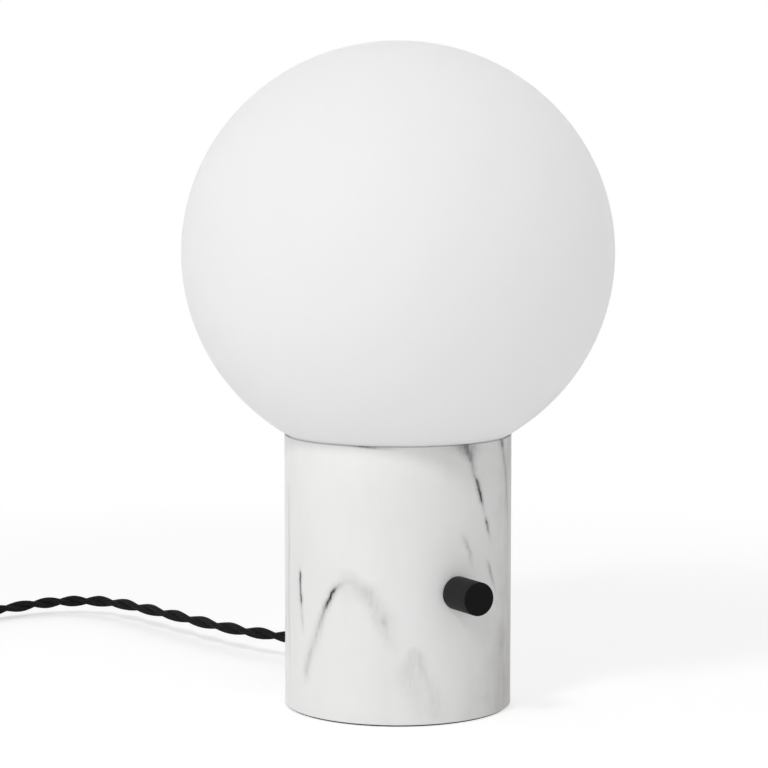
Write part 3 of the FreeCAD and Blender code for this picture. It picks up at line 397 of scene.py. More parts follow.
def plugBody():
    # A rounded block with a waist for the fingers and grip lines across it.
    body = block("plugBody", (0, 0, plug["long"] / 2), (plug["wide"], plug["tall"], plug["long"]))
    roundAlong(body, 2, plug["round"], 5)
    waist, grips = plug["waist"], plug["grips"]
    ridges = [grips["first"] + grips["space"] * grip for grip in range(grips["count"])]
    lows = [round(ridge + grips["rise"], 4) for ridge in ridges]
    for level in sorted(ridges + lows) + [grips["end"]]:
        bpy.ops.mesh.select_all(action="SELECT")
        bpy.ops.mesh.bisect(plane_co=(0, 0, level), plane_no=(0, 0, 1))
    bpy.ops.object.mode_set(mode="OBJECT")
    for vertex in body.data.vertices:
        level = round(vertex.co.z, 4)
        narrow = 1 - waist["deep"] * math.exp(-((level - waist["level"]) / waist["reach"]) ** 2)
        narrow -= grips["deep"] if level in lows and abs(vertex.co.x) < plug["wide"] / 2 else 0
        vertex.co.x *= narrow
    finishModifier(body, "BEVEL", width=plug["edge"], segments=3, limit_method="ANGLE",
                   angle_limit=math.radians(50))
    body.data.transform(plugSeat(guard["long"]))
    return smooth(body, 35)


plugShell = plugBody()

relief = {"flange": 0.0075, "lip": 0.0015, "root": 0.006, "tip": 0.0046, "long": 0.020, "bore": 0.0037,
          "tail": 0.016, "body": 0.005, "seat": 0.066, "round": 0.0004, "edge": 0.0003,
          "ribs": 6, "first": 0.0022, "space": 0.0026, "groove": (0, 0.14, 0.46, 0.6), "deep": 0.0006}


def cordRelief():
    # The gland: a threaded body in the wall, a round flange outside and a ribbed taper along the cord.
    lip, edge, tip = relief["lip"], relief["edge"], relief["tip"]
    end = lip + relief["long"]
    rings = [
        (relief["bore"], -relief["tail"]), (relief["body"], -relief["tail"]), (relief["body"], 0),
        (relief["flange"], 0),
        *corner(relief["flange"] - relief["round"], lip - relief["round"], relief["round"], 0),
        (relief["root"], lip), *grooves(relief, lip),
        (tip, end - edge), (tip - edge, end), (relief["bore"], end),
    ]
    piece = turnedPiece("cordRelief", rings, 64)
    return smooth(lay(piece, (-90, 0, 0), (0, relief["seat"], cord["exit"][2])), 30)


reliefPiece = cordRelief()
print("tie, plug and strain relief made")


# Glass globe

globe = {"radius": 0.125, "half": 0.122, "middle": 0.263508, "neck": 0.046, "neckLow": 0.136071,
         "wall": 0.003, "neckRings": (0.25, 0.5, 0.97, 1.0), "lip": 0.0004}


def glassGlobe():
    # A ball a little wider than it is tall, opened at its foot and drawn down into a short neck.
    selectNothing()
    bpy.ops.mesh.primitive_uv_sphere_add(
        segments=192, ring_count=96, radius=1, location=(0, 0, globe["middle"]),
        scale=(globe["radius"], globe["radius"], globe["half"]))
    ball = settle(bpy.context.object)
    ball.name = "glassGlobe"
    neckTop = globe["middle"] - globe["half"] * math.sqrt(1 - (globe["neck"] / globe["radius"]) ** 2)
    bpy.ops.object.mode_set(mode="EDIT")
    bpy.ops.mesh.select_all(action="SELECT")
    bpy.ops.mesh.bisect(plane_co=(0, 0, neckTop), plane_no=(0, 0, 1), clear_inner=True)
    bpy.ops.mesh.select_mode(type="EDGE")
    bpy.ops.mesh.select_all(action="DESELECT")
    bpy.ops.mesh.select_non_manifold()
    level = neckTop
    for share in globe["neckRings"]:
        newLevel = neckTop + (globe["neckLow"] - neckTop) * share
        bpy.ops.mesh.extrude_edges_move(TRANSFORM_OT_translate={"value": (0, 0, newLevel - level)})
        level = newLevel
    grow = (globe["neck"] - globe["lip"]) / globe["neck"]
    bpy.ops.transform.resize(value=(grow, grow, 1), center_override=(0, 0, globe["neckLow"]))
    bpy.ops.mesh.select_mode(type="VERT")
    bpy.ops.object.mode_set(mode="OBJECT")
    tidyMesh(ball)
    finishModifier(ball, "SOLIDIFY", thickness=globe["wall"], offset=-1, use_even_offset=True)
    return smooth(ball, 40)


globePiece = glassGlobe()
print("globe made")


# Stone base

# A hole is (radius, depth, middle, level) along Y, and the pocket behind the knob (place, size).
base = {"radius": 0.066, "foot": 0.0008, "rim": 0.1595, "mouth": 0.0605, "seat": 0.15635,
        "ledge": 0.14677, "bore": 0.056, "rebate": 0.059, "plate": 0.0038, "footRound": 0.0006,
        "rimRound": 0.0004, "rimSlope": 29.8,
        "wallRings": (0.010, 0.023, 0.040, 0.064, 0.085, 0.110, 0.135),
        "boreRings": (0.110, 0.085, 0.060, 0.030),
        "holes": [(0.0038, 0.02, -0.064, 0.0753), (0.0053, 0.03, 0.062, 0.0165)],
        "pocket": ((0, -0.047, 0.0753), (0.024, 0.030, 0.026))}


def stoneBase():
    # A thick round tube: its rim slopes in under the globe and its foot takes the bottom plate.
    foot, rim = base["footRound"], base["rimRound"]
    rimDrop = rim / math.tan(math.radians(45 - base["rimSlope"] / 2))
    rings = [
        (base["rebate"], base["plate"]), (base["rebate"], base["foot"]),
        *corner(base["radius"] - foot, base["foot"] + foot, foot, -90),
        *[(base["radius"], level) for level in base["wallRings"]],
        *corner(base["radius"] - rim, base["rim"] - rimDrop, rim, 0, 90 + base["rimSlope"]),
        (base["mouth"], base["seat"]), (base["mouth"], base["ledge"]), (base["bore"], base["ledge"]),
        *[(base["bore"], level) for level in base["boreRings"]],
        (base["bore"], base["plate"]),
    ]
    stone = turnedPiece("stoneBase", rings, 256)
    for radius, depth, middle, level in base["holes"]:
        selectNothing()
        bpy.ops.mesh.primitive_cylinder_add(vertices=48, radius=radius, depth=depth,
                                            location=(0, middle, level),
                                            rotation=(math.radians(90), 0, 0))
        cutAway(stone, settle(bpy.context.object))
    cutAway(stone, block("pocket", *base["pocket"]))
    return smooth(stone, 30)


stonePiece = stoneBase()
print("stone base made")


# Dimmer knob

knob = {"radius": 0.0095, "foot": -0.0668, "long": 0.0236, "edge": 0.0004, "recess": 0.0072,
        "deep": 0.0056, "level": 0.0753, "socket": 0.0050, "socketEnd": 0.0196,
        "sideRings": (0.008, 0.016), "endRings": (0.006, 0.003)}


def dimmerKnob():
    # A plain round knob with a fine turned edge and a hollow back.
    edge = knob["edge"]
    rings = [
        (knob["socket"], knob["socketEnd"]), (knob["socket"], knob["deep"]),
        (knob["recess"], knob["deep"]), (knob["recess"], 0),
        *corner(knob["radius"] - edge, edge, edge, -90),
        *[(knob["radius"], level) for level in knob["sideRings"]],
        *corner(knob["radius"] - edge, knob["long"] - edge, edge, 0),
        *[(radius, knob["long"]) for radius in knob["endRings"]],
    ]
    piece = turnedPiece("dimmerKnob", rings, 128, closed=False)
    capEnds(piece)
    return smooth(lay(piece, (90, 0, 0), (0, knob["foot"], knob["level"])), 30)


knobPiece = dimmerKnob()
print("knob made")


# Finishes

class Signal:
    # The output of a node, used in formulas.
    def __init__(self, tree, socket):
        self.tree = tree
        self.socket = socket

    def __add__(self, other):
        return self.tree.math("ADD", self, other)

    def __radd__(self, other):
        return self.tree.math("ADD", other, self)

    def __sub__(self, other):
        return self.tree.math("SUBTRACT", self, other)

    def __rsub__(self, other):
        return self.tree.math("SUBTRACT", other, self)

    def __mul__(self, other):
        return self.tree.math("MULTIPLY", self, other)

    def __rmul__(self, other):
        return self.tree.math("MULTIPLY", other, self)

    def __truediv__(self, other):
        return self.tree.math("DIVIDE", self, other)

    def __rtruediv__(self, other):
        return self.tree.math("DIVIDE", other, self)

    def __pow__(self, other):
        return self.tree.math("POWER", self, other)

    def __rpow__(self, other):
        return self.tree.math("POWER", other, self)

    def larger(self, other):
        return self.tree.math("MAXIMUM", self, other)

    def held(self):
        # The value kept between 0 and 1.
        return self.tree.math("MINIMUM", self.larger(0), 1)


class Nodes:
    # The nodes of a finish or of the world.
    def __init__(self, tree):
        self.nodes = tree.nodes
        self.links = tree.links

    def find(self, kind):
        return next(node for node in self.nodes if node.type == kind)

    def put(self, socket, value):
        if isinstance(value, Signal):
            self.links.new(value.socket, socket)
        elif isinstance(value, tuple) and len(value) == 3 and socket.type == "RGBA":
            socket.default_value = (*value, 1)
        else:
            socket.default_value = value

    def add(self, kind, settings=None, *values, output=0, **named):
        node = self.nodes.new(kind)
        for name, value in (settings or {}).items():
            if name == "stops":
                ramp = node.color_ramp
                while len(ramp.elements) < len(value):
                    ramp.elements.new(0.5)
                for element, (place, colour) in zip(ramp.elements, value):
                    element.position = place
                for element, (place, colour) in zip(ramp.elements, value):
                    element.color = (*colour, 1)
            else:
                setattr(node, name, value)
        for socket, value in zip(node.inputs, values):
            self.put(socket, value)
        for name, value in named.items():
            self.put(node.inputs[name.replace("_", " ")], value)
        return Signal(self, node.outputs[output])

    def math(self, operation, *values):
        return self.add("ShaderNodeMath", {"operation": operation}, *values)

    def place(self):
        return self.add("ShaderNodeTexCoord", output="Object")

    def parts(self, value, kind="ShaderNodeSeparateXYZ"):
        node = self.add(kind, None, value).socket.node
        return [Signal(self, output) for output in node.outputs[:3]]

    def stretched(self, where, factors):
        return self.add("ShaderNodeVectorMath", {"operation": "MULTIPLY"}, where, factors)

    def noise(self, where, scale, detail=3, rough=0.5):
        return self.add("ShaderNodeTexNoise", None, Vector=where, Scale=scale, Detail=detail,
                        Roughness=rough)

    def grey(self, value):
        return self.add("ShaderNodeCombineColor", None, value, value, value)

    def blend(self, share, first, second, way="MIX"):
        node = self.add("ShaderNodeMix", {"data_type": "RGBA", "blend_type": way}).socket.node
        for socket, value in ((0, share), (6, first), (7, second)):
            self.put(node.inputs[socket], value)
        return Signal(self, node.outputs[2])

    def grade(self, value, low, high, first, last):
        # The value moved from one range to another and kept inside it.
        return self.add("ShaderNodeMapRange", None, value, low, high, first, last)

    def bump(self, height, strength, distance):
        return self.add("ShaderNodeBump", None, Strength=strength, Distance=distance, Height=height)


class Finish(Nodes):
    # One material and the nodes that make it.
    def __init__(self, name, **constants):
        self.material = bpy.data.materials.new(name)
        self.material.use_nodes = True
        super().__init__(self.material.node_tree)
        self.shader = self.find("BSDF_PRINCIPLED")
        self.wear(**constants)

    def mixIn(self, share, other):
        # The surface shows the finish's own shader with a share of another.
        own = Signal(self, self.shader.outputs[0])
        mixed = self.add("ShaderNodeMixShader", None, share, own, other)
        self.links.new(mixed.socket, self.find("OUTPUT_MATERIAL").inputs["Surface"])

    def wear(self, **signals):
        for socket, value in signals.items():
            self.put(self.shader.inputs[socket.replace("_", " ")], value)
        return self.material


def opalGlass():
    # The wall lets much of the light through, which evens the glass out from inside.
    glass = {"light": (0.93, 0.93, 0.93), "deep": (0.91, 0.912, 0.915), "through": (0.96, 0.96, 0.96),
             "share": 0.72, "rough": 0.55}
    finish = Finish("opalGlass", IOR=1.5, Specular_IOR_Level=0.2)
    where = finish.place()
    cloud = finish.noise(where, 9, 3)
    mottle = finish.noise(where, 260, 2)
    tint = finish.grade(cloud, 0.3, 0.7, 0, 1)
    rough = glass["rough"] + 0.05 * (finish.noise(where, 30, 3) - 0.5)
    height = mottle * 0.6 + finish.noise(where, 60, 2) * 0.4
    through = finish.add("ShaderNodeBsdfTranslucent", None, glass["through"])
    finish.mixIn(glass["share"], through)
    return finish.wear(Base_Color=finish.blend(tint, glass["light"], glass["deep"]), Roughness=rough,
                       Normal=finish.bump(height, 0.05, 0.0004))


# Veins of the stone, and runs of painted shade. Each is a run of (height mm, bearing in degrees, depth,
# width mm); a bearing of zero faces the camera's side and grows anticlockwise seen from above.
veinsAndShade = {
    "leftEdge": [(88, -60, 0, 1.4), (84.5, -59.8, 0.3, 1.6), (82, -59.6, 1.0, 1.8), (74, -60, 0.8, 1.6),
                 (67, -59, 1.0, 1.8), (62, -58.5, 0.4, 1.8), (54, -57.5, 0.35, 1.8), (46, -57, 0, 2)],
    "main": [(85, -23, 0, 5), (82, -27, 0.16, 6.5), (79, -32, 0.5, 3.4), (75, -35.2, 1.0, 2.6),
             (66, -39.5, 1.0, 2.4), (62, -41.5, 0.6, 2.6), (49, -46, 0.42, 3.6), (40, -50, 0.4, 3.4),
             (27, -54.5, 0.44, 3), (18, -54.5, 0, 2.6)],
    "rightLeg": [(83, -22, 0, 5), (79, -18.5, 0.2, 6), (77, -16.4, 0.34, 5), (70, -12.5, 0.32, 6),
                 (63, -8.4, 0.4, 6), (59, -7.2, 0.46, 5.2), (55, -6.4, 0.3, 5), (48, -4, 0.15, 5),
                 (38, 0, 0, 5)],
    "forkLeft": [(47, 8.5, 0, 2.2), (43, 8, 0.3, 3.4), (33, 6, 0.28, 6.5), (25, 6.5, 0.25, 8),
                 (17, 9.5, 0.2, 8), (6, 14, 0.14, 7), (1, 16, 0, 6)],
    "forkRight": [(47, 9, 0, 2), (42, 10, 0.32, 3), (30, 13, 0.28, 4.8), (22.5, 15.6, 0.2, 5.6),
                  (13.5, 18.7, 0.26, 6), (5, 19.7, 0.2, 6), (1, 20, 0, 5)],
    "crack": [(161, 36, 0.76, 12), (157, 37, 0.76, 10), (152, 39.4, 0.72, 5), (148, 41, 0.62, 2.6),
              (142, 42, 0.5, 2), (138, 44, 0.92, 2.1), (132, 45.8, 1.0, 2.1), (126, 47.4, 0.9, 1.9),
              (121.5, 48.9, 0.4, 1.6), (117, 50, 0.25, 1.6), (113, 51.6, 0.86, 1.8), (109, 52.6, 0.82, 1.6),
              (104, 54.5, 0.2, 1.4), (97, 56, 0, 1.4)],
    "edgeCrack": [(161, 65, 0.85, 4.6), (156, 66.5, 0.86, 3.6), (151, 68, 0.6, 2.6), (144, 70.5, 0.6, 2.6),
                  (133, 73, 0.6, 2.6), (118, 75.5, 0.5, 2.4), (102, 77, 0.36, 2.2), (85, 78, 0, 2)],
    # The run under the rim near the front is partly a short vein and partly painted shade under the globe's
    # rim.
    "rimVeinAndShade": [(162, -28, 0, 6), (160, -22, 0.6, 10), (158.6, -16, 0.8, 12), (157.8, -11, 0.55, 10),
                (156.8, -5, 0, 6)],
    "fleckUpper": [(111, 34.5, 0, 1.6), (106, 36.2, 0.3, 2), (101, 38, 0.62, 1.6), (97, 39.9, 0.45, 1.5),
                   (92.5, 40, 0.3, 1.6), (87, 41.5, 0, 1.4)],
    "fleckLower": [(93, 52, 0, 1.4), (88, 53.4, 0.55, 1.7), (82.5, 55.4, 0.6, 1.6), (77, 57.6, 0.5, 1.4),
                   (69, 61, 0, 1.3)],
    # The run along the left edge is painted shade, not a vein.
    "leftShade": [(146, -75, 0, 1.8), (122, -74.5, 0.3, 2.0), (96, -74, 0.4, 1.8), (70, -75, 0.32, 2.0),
                  (40, -74, 0.3, 2.2), (16, -73, 0, 2)],
    "sideMain": [(161, 96, 0.5, 3.5), (146, 101, 0.7, 2.4), (130, 108, 0.4, 2.0), (112, 112, 0.85, 1.7),
                 (94, 118, 0.5, 2.4), (72, 127, 0.35, 2.8), (50, 133, 0.6, 2.0), (30, 141, 0.2, 2.6),
                 (12, 146, 0, 3)],
    "sideFork": [(100, 117, 0, 2), (88, 112, 0.4, 2.2), (66, 105, 0.5, 2.0), (44, 99, 0.2, 2.8),
                 (24, 95, 0, 3)],
    "rearMain": [(70, 176, 0, 2), (84, 178, 0.4, 2.4), (98, 184, 0.9, 1.8), (112, 190, 0.6, 2.0),
                 (128, 194, 0.3, 2.6), (144, 202, 0.55, 2.4), (161, 206, 0.4, 3.2)],
    "rearLeg": [(101, 185, 0, 2), (90, 192, 0.3, 2.4), (74, 199, 0.55, 2.0), (54, 204, 0.25, 2.6),
                (30, 212, 0.12, 3.2), (14, 216, 0, 3)],
    "rearFoot": [(52, 160, 0, 2), (42, 162, 0.3, 2.6), (26, 168, 0.25, 3.2), (8, 176, 0.15, 4),
                 (2, 178, 0, 4)],
    "farSide": [(161, 254, 0.4, 3), (148, 251, 0.6, 2.0), (130, 247, 0.8, 1.6), (114, 242, 0.35, 2.0),
                (98, 240, 0.1, 2.4), (86, 238, 0, 2)],
    "farFoot": [(78, 262, 0, 2), (66, 259, 0.5, 2.0), (48, 252, 0.7, 1.8), (32, 247, 0.3, 2.6),
                (16, 244, 0, 3)],
}
# Broad warm clouds in the stone, written the same way. The cloud on the right side is partly the stone's
# clouding and partly painted shade on the base's shaded right side.
cloudAndShadeRuns = {
    "rightCloudAndShade": [(161, 84, 0.95, 18), (120, 85, 0.95, 18), (80, 84, 0.95, 18), (40, 80, 1, 22),
                   (0, 76, 1, 25)],
    # The cloud under the rim on the right is partly the stone's clouding and partly painted shade where the
    # globe's shadow falls.
    "shoulderCloudAndShade": [(161, 22, 0.35, 16), (150, 30, 0.3, 14), (138, 38, 0.15, 12), (124, 44, 0, 10)],
    "archCloud": [(90, -24, 0, 8), (82, -23, 0.4, 9), (75, -21, 0.3, 9), (66, -19, 0, 8)],
    "rearCloud": [(161, 170, 0.5, 18), (110, 186, 0.4, 16), (60, 198, 0.5, 20), (0, 206, 0.6, 24)],
    "farCloud": [(161, 246, 0.4, 14), (90, 244, 0.5, 16), (0, 240, 0.4, 18)],
}


def streaks(finish, runs, bearing, height, stone):
    # For every run: its depth at a place, and the squared distance from its middle in widths.
    found = []
    for run in runs.values():
        run = sorted(run)
        low, high = run[0][0], run[-1][0]
        bearings = [spot[1] for spot in run]
        first, span = min(bearings), max(max(bearings) - min(bearings), 1)
        stops = [((level - low) / (high - low), ((at - first) / span, deep, wide / stone["widest"]))
                 for level, at, deep, wide in run]
        ramp = finish.add("ShaderNodeValToRGB", {"stops": stops}, finish.grade(height, low, high, 0, 1))
        middle, deep, wide = finish.parts(ramp, "ShaderNodeSeparateColor")
        away = finish.math("WRAP", bearing - (middle * span + first), 180, -180)
        away = away * stone["across"] / (wide * stone["widest"])
        found.append((deep, away * away))
    return found


def strongest(finish, found, fall, power=None):
    # The strongest of the runs at a place, with a depth that falls away on both sides.
    best = None
    for deep, away in found:
        strength = finish.math("EXPONENT", away * -fall) * (deep ** power if power else deep)
        best = best.larger(strength) if best else strength
    return best


def whiteStone():
    # Widths are in mm: "across" is the wall's mm for each degree, "widest" the widest run.
    stone = {"white": (0.812, 0.812, 0.806), "cloud": (0.74, 0.735, 0.72), "veinAndShade": (0.36, 0.36, 0.355),
             "dark": (0.035, 0.036, 0.04), "warmCloudAndShade": (0.37, 0.357, 0.33), "seat": (0.13, 0.13, 0.13),
             "rough": 0.32, "facing": -120, "across": 1.152, "widest": 25, "near": 2.43,
             "soft": 0.8, "sharp": 5, "seatShadeFrom": (0.0656, 0.06595), "rimShadeFrom": (0.0013, 0.0004)}
    finish = Finish("whiteStone", IOR=1.5, Specular_IOR_Level=0.22)
    where = finish.place()
    x, y, z = finish.parts(where)
    wander = finish.noise(where, 55, 3) - 0.5
    wobble = finish.noise(where, 300, 3, 0.6) - 0.5
    lift = finish.noise(where, 40, 2) - 0.5
    height = z * 1000 + lift * 2.0
    bearing = finish.math("ARCTAN2", y, x) * (180 / math.pi) - stone["facing"]
    # The veins were read from close by, where the sides of a round thing lie a little nearer the middle.
    bearing = bearing + finish.math("SINE", bearing * (math.pi / 180)) * stone["near"]
    bearing = bearing + wander * 1.2 + wobble * 1.6
    found = streaks(finish, veinsAndShade, bearing, height, stone)
    soft = strongest(finish, found, stone["soft"])
    sharp = strongest(finish, found, stone["sharp"], 3)
    found = streaks(finish, cloudAndShadeRuns, bearing + wander * 24, height + lift * 16, stone)
    cloudsAndShade = strongest(finish, found, stone["soft"])
    streak = finish.stretched(where, (1, 1, 0.35))
    feather = finish.grade(finish.noise(streak, 420, 4, 0.65), 0.36, 0.62, 0.3, 1)
    cloud = finish.grade(finish.noise(where, 16, 4, 0.55), 0.42, 0.75, 0, 1)
    cloudLow = finish.grade(finish.noise(streak, 60, 4, 0.6), 0.5, 0.8, 0, 0.35)
    upright = finish.stretched(where, (1, 1, 0.12))
    streaky = finish.grade(finish.noise(upright, 150, 3, 0.6), 0.36, 0.66, 0, 1)
    colour = finish.blend(cloud * 0.4 + cloudLow, stone["white"], stone["cloud"])
    # The clouds' warm grey is partly the stone's own clouding and partly painted shade.
    colour = finish.blend((cloudsAndShade * (0.42 + cloud * 0.3 + streaky * 0.28)).held(), colour, stone["warmCloudAndShade"])
    # The grey runs include painted shade as well as veins.
    colour = finish.blend((soft * (0.3 + feather * 0.5)).held(), colour, stone["veinAndShade"])
    colour = finish.blend((sharp * (0.25 + feather) * 1.25).held(), colour, stone["dark"])
    # Painted shade: the seat under the globe, the bore and the rim's very edge are painted dark, for the
    # shade in the gap under the globe.
    inside = finish.grade((x * x + y * y) ** 0.5, *stone["seatShadeFrom"], 1, 0)
    edge = finish.grade(z, *[base["rim"] - drop for drop in stone["rimShadeFrom"]], 0, 0.55)
    colour = finish.blend(inside.larger(edge), colour, stone["seat"])
    rough = stone["rough"] + 0.08 * (finish.noise(where, 90, 3) - 0.5) + sharp * 0.1
    grain = finish.noise(where, 900, 2)
    return finish.wear(Base_Color=colour, Roughness=rough,
                       Normal=finish.bump(grain - sharp * 0.8, 0.06, 0.0002))


def unevenly(finish, where, rough):
    # A roughness that varies a little from place to place.
    return rough + 0.1 * (finish.noise(where, 160, 3) - 0.5)


def mouldedPlastic(name, colour, rough, grain=1400, deep=0.08, spread=0.12):
    finish = Finish(name, IOR=1.46)
    where = finish.place()
    shade = finish.grade(finish.noise(where, 70, 3), 0.3, 0.7, 1 - spread, 1 + spread)
    return finish.wear(Base_Color=finish.blend(1.0, colour, finish.grey(shade), "MULTIPLY"),
                       Roughness=unevenly(finish, where, rough),
                       Normal=finish.bump(finish.noise(where, grain, 2), deep, 0.0003))


def knobFinish():
    # Fine matt plastic; the knob's end is painted darker than its side, as painted shade.
    tones = {"side": (0.0165, 0.0165, 0.017), "end": (0.004, 0.004, 0.0042), "rough": 0.58,
             "shadedEndFrom": (0.00005, 0.0003)}
    finish = Finish("knobPlastic", IOR=1.46, Specular_IOR_Level=0.1)
    where = finish.place()
    y = finish.parts(where)[1]
    end = finish.grade(y, *[knob["foot"] - knob["long"] + back for back in tones["shadedEndFrom"]], 1, 0)
    fine = finish.noise(where, 1700, 2)
    colour = finish.blend((end + (fine - 0.5) * 0.2).held(), tones["side"], tones["end"])
    return finish.wear(Base_Color=colour, Roughness=unevenly(finish, where, tones["rough"]),
                       Normal=finish.bump(fine, 0.05, 0.0003))


def turnedMetal(name, colour, rough):
    # Metal with fine turning lines round its upright axis and a little tarnish.
    finish = Finish(name, Metallic=1.0)
    where = finish.place()
    lines = finish.noise(finish.stretched(where, (12, 12, 900)), 1, 3)
    stain = finish.grade(finish.noise(where, 60, 4, 0.6), 0.35, 0.75, 0, 0.55)
    dull = tuple(part * 0.62 for part in colour)
    return finish.wear(Base_Color=finish.blend(stain, colour, dull),
                       Roughness=rough + 0.16 * (lines - 0.5) + stain * 0.12,
                       Normal=finish.bump(lines, 0.1, 0.0001))


def braidedCloth():
    # Black cotton braid: two sets of threads cross in a diamond pattern that follows the cord.
    braid = {"dark": (0.0003, 0.0003, 0.0003), "light": (0.028, 0.028, 0.0285), "rough": 0.88,
             "turns": 9, "pitch": 2.4}
    finish = Finish("braidedCloth", IOR=1.4, Sheen_Weight=0.02, Sheen_Roughness=0.5,
                    Specular_IOR_Level=0.1)
    along, about = finish.parts(finish.add("ShaderNodeUVMap", {"uv_map": "along"}))[:2]
    turned, forward = about * braid["turns"], along * braid["pitch"]
    rise = finish.math("SINE", (turned + forward) * (2 * math.pi))
    fall = finish.math("SINE", (turned - forward) * (2 * math.pi))
    weave = rise.larger(fall) * 0.5 + 0.5
    fuzz = finish.noise(finish.place(), 1500, 3, 0.6)
    colour = finish.blend((weave ** 8 * 1.2 + (fuzz - 0.5) * 0.6).held(), braid["dark"], braid["light"])
    return finish.wear(Base_Color=colour, Roughness=braid["rough"] - 0.12 * weave,
                       Normal=finish.bump(weave + fuzz * 0.3, 0.8, 0.0003))


def circuitBoard():
    finish = Finish("circuitBoard", IOR=1.5)
    where = finish.place()
    spots = finish.add("ShaderNodeTexVoronoi", None, Vector=where, Scale=260)
    pads = finish.grade(spots, 0.18, 0.22, 1, 0)
    grain = finish.noise(where, 500, 2)
    green = finish.blend(grain, (0.05, 0.19, 0.09), (0.07, 0.24, 0.12))
    return finish.wear(Base_Color=finish.blend(pads * 0.7, green, (0.66, 0.60, 0.42)),
                       Roughness=0.42 - 0.15 * pads)


def lightChip():
    finish = Finish("lightChip", IOR=1.5)
    grain = finish.noise(finish.place(), 2500, 2)
    colour = finish.blend(grain, (0.80, 0.62, 0.10), (0.88, 0.72, 0.22))
    return finish.wear(Base_Color=colour, Roughness=0.35 + 0.2 * grain)


def foamPad():
    finish = Finish("foamPad", IOR=1.4)
    where = finish.place()
    cells = finish.add("ShaderNodeTexVoronoi", None, Vector=where, Scale=1300)
    colour = finish.blend(cells, (0.02, 0.02, 0.02), (0.05, 0.05, 0.05))
    return finish.wear(Base_Color=colour, Roughness=0.82 + 0.1 * cells,
                       Normal=finish.bump(cells, 0.4, 0.0004))


def insulated(name, colour):
    finish = Finish(name, IOR=1.45)
    where = finish.place()
    shade = finish.noise(where, 220, 3)
    darker = tuple(part * 0.7 for part in colour)
    return finish.wear(Base_Color=finish.blend(shade, colour, darker), Roughness=0.38 + 0.2 * shade)


finishes = {
    "opalGlass": opalGlass(),
    "whiteStone": whiteStone(),
    "knobPlastic": knobFinish(),
    "blackPlastic": mouldedPlastic("blackPlastic", (0.022, 0.022, 0.023), 0.48),
    "darkPlastic": mouldedPlastic("darkPlastic", (0.045, 0.045, 0.048), 0.55),
    "whitePlastic": mouldedPlastic("whitePlastic", (0.74, 0.74, 0.72), 0.42, 1200, 0.05, 0.03),
    "diffuserPlastic": mouldedPlastic("diffuserPlastic", (0.86, 0.86, 0.85), 0.55, 800, 0.04, 0.02),
    "blackGlass": mouldedPlastic("blackGlass", (0.02, 0.02, 0.02), 0.14, 300, 0.03, 0.04),
    "glazedCarrier": mouldedPlastic("glazedCarrier", (0.78, 0.76, 0.71), 0.16, 300, 0.05, 0.04),
    "paintedSteel": mouldedPlastic("paintedSteel", (0.70, 0.70, 0.69), 0.36, 500, 0.12, 0.03),
    "silicone": mouldedPlastic("silicone", (0.62, 0.62, 0.60), 0.62, 900, 0.05, 0.05),
    "zincSteel": turnedMetal("zincSteel", (0.62, 0.63, 0.64), 0.36),
    "nickel": turnedMetal("nickel", (0.72, 0.69, 0.64), 0.24),
    "brass": turnedMetal("brass", (0.80, 0.60, 0.30), 0.28),
    "aluminium": turnedMetal("aluminium", (0.80, 0.81, 0.82), 0.34),
    "circuitBoard": circuitBoard(),
    "lightChip": lightChip(),
    "foamPad": foamPad(),
    "braidedCloth": braidedCloth(),
    "brownWire": insulated("brownWire", (0.20, 0.085, 0.04)),
    "blueWire": insulated("blueWire", (0.05, 0.16, 0.42)),
}
print("finishes made:", len(finishes))


def wears(piece, finish):
    piece.data.materials.clear()
    piece.data.materials.append(finishes[finish])


nodeFinishes = {
    "foamPad": ["foot_pad"],
    "zincSteel": ["base_plate", "tie_rods", "rod_nuts_lower", "rod_nuts_upper", "rod_washers",
                  "holder_pipe", "pipe_washer", "pipe_nut", "clamp_screws", "knob_grub_screw",
                  "dimmer_washer", "terminal_screws"],
    "paintedSteel": ["top_dish"],
    "silicone": ["globe_gasket"],
    "whitePlastic": ["holder_cap", "holder_sleeve", "bulb_housing", "terminal_block", "clamp_base",
                     "clamp_saddle"],
    "diffuserPlastic": ["bulb_diffuser"],
    "glazedCarrier": ["holder_carrier"],
    "blackGlass": ["bulb_insulator"],
    "nickel": ["holder_shell", "bulb_cap", "bulb_contact", "plug_blades", "dimmer_bush", "dimmer_nut"],
    "brass": ["holder_spring", "holder_terminals", "dimmer_posts", "dimmer_wiper", "knob_insert",
              "terminal_sleeves"],
    "aluminium": ["dimmer_shaft", "light_board"],
    "darkPlastic": ["dimmer_rotor", "dimmer_cover", "dimmer_housing"],
    "blackPlastic": ["gland_nut"],
    "circuitBoard": ["dimmer_track", "bulb_driver"],
    "lightChip": ["light_chips"],
    "brownWire": ["wire_live", "wire_dimmed", "supply_cores"],
    "blueWire": ["wire_neutral"],
}
for finish, names in nodeFinishes.items():
    for name in names:
        wears(frame["nodes"][name], finish)


# Smooth copies of the turned parts that show when the globe is lifted

smoothed = {
    "top_dish": ("paintedSteel", "painted_steel"), "globe_gasket": ("silicone", "silicone"),
    "holder_cap": ("whitePlastic", "white_plastic"), "holder_sleeve": ("whitePlastic", "white_plastic"),
    "holder_shell": ("nickel", "nickel"), "bulb_cap": ("nickel", "nickel"),
    "bulb_housing": ("whitePlastic", "white_plastic"),
    "bulb_diffuser": ("diffuserPlastic", "white_plastic"),
    "dimmer_shaft": ("aluminium", "aluminium"), "dimmer_bush": ("nickel", "nickel"),
    "foot_pad": ("foamPad", "foam_pad"),
}
bodyOf = {name: body for body, members in frame["record"]["behaviour"]["bodies"].items()
          for name in members}
for name, (finish, slot) in smoothed.items():
    source = frame["nodes"][name]
    copy = bpy.data.objects.new(name.title().replace("_", "") + "Smooth", source.data.copy())
    scene.collection.objects.link(copy)
    tidyMesh(copy, outward=False)
    smooth(copy, 30)
    wears(copy, finish)
    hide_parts(name)
    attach(copy, bodyOf[name])
print("inner parts dressed")

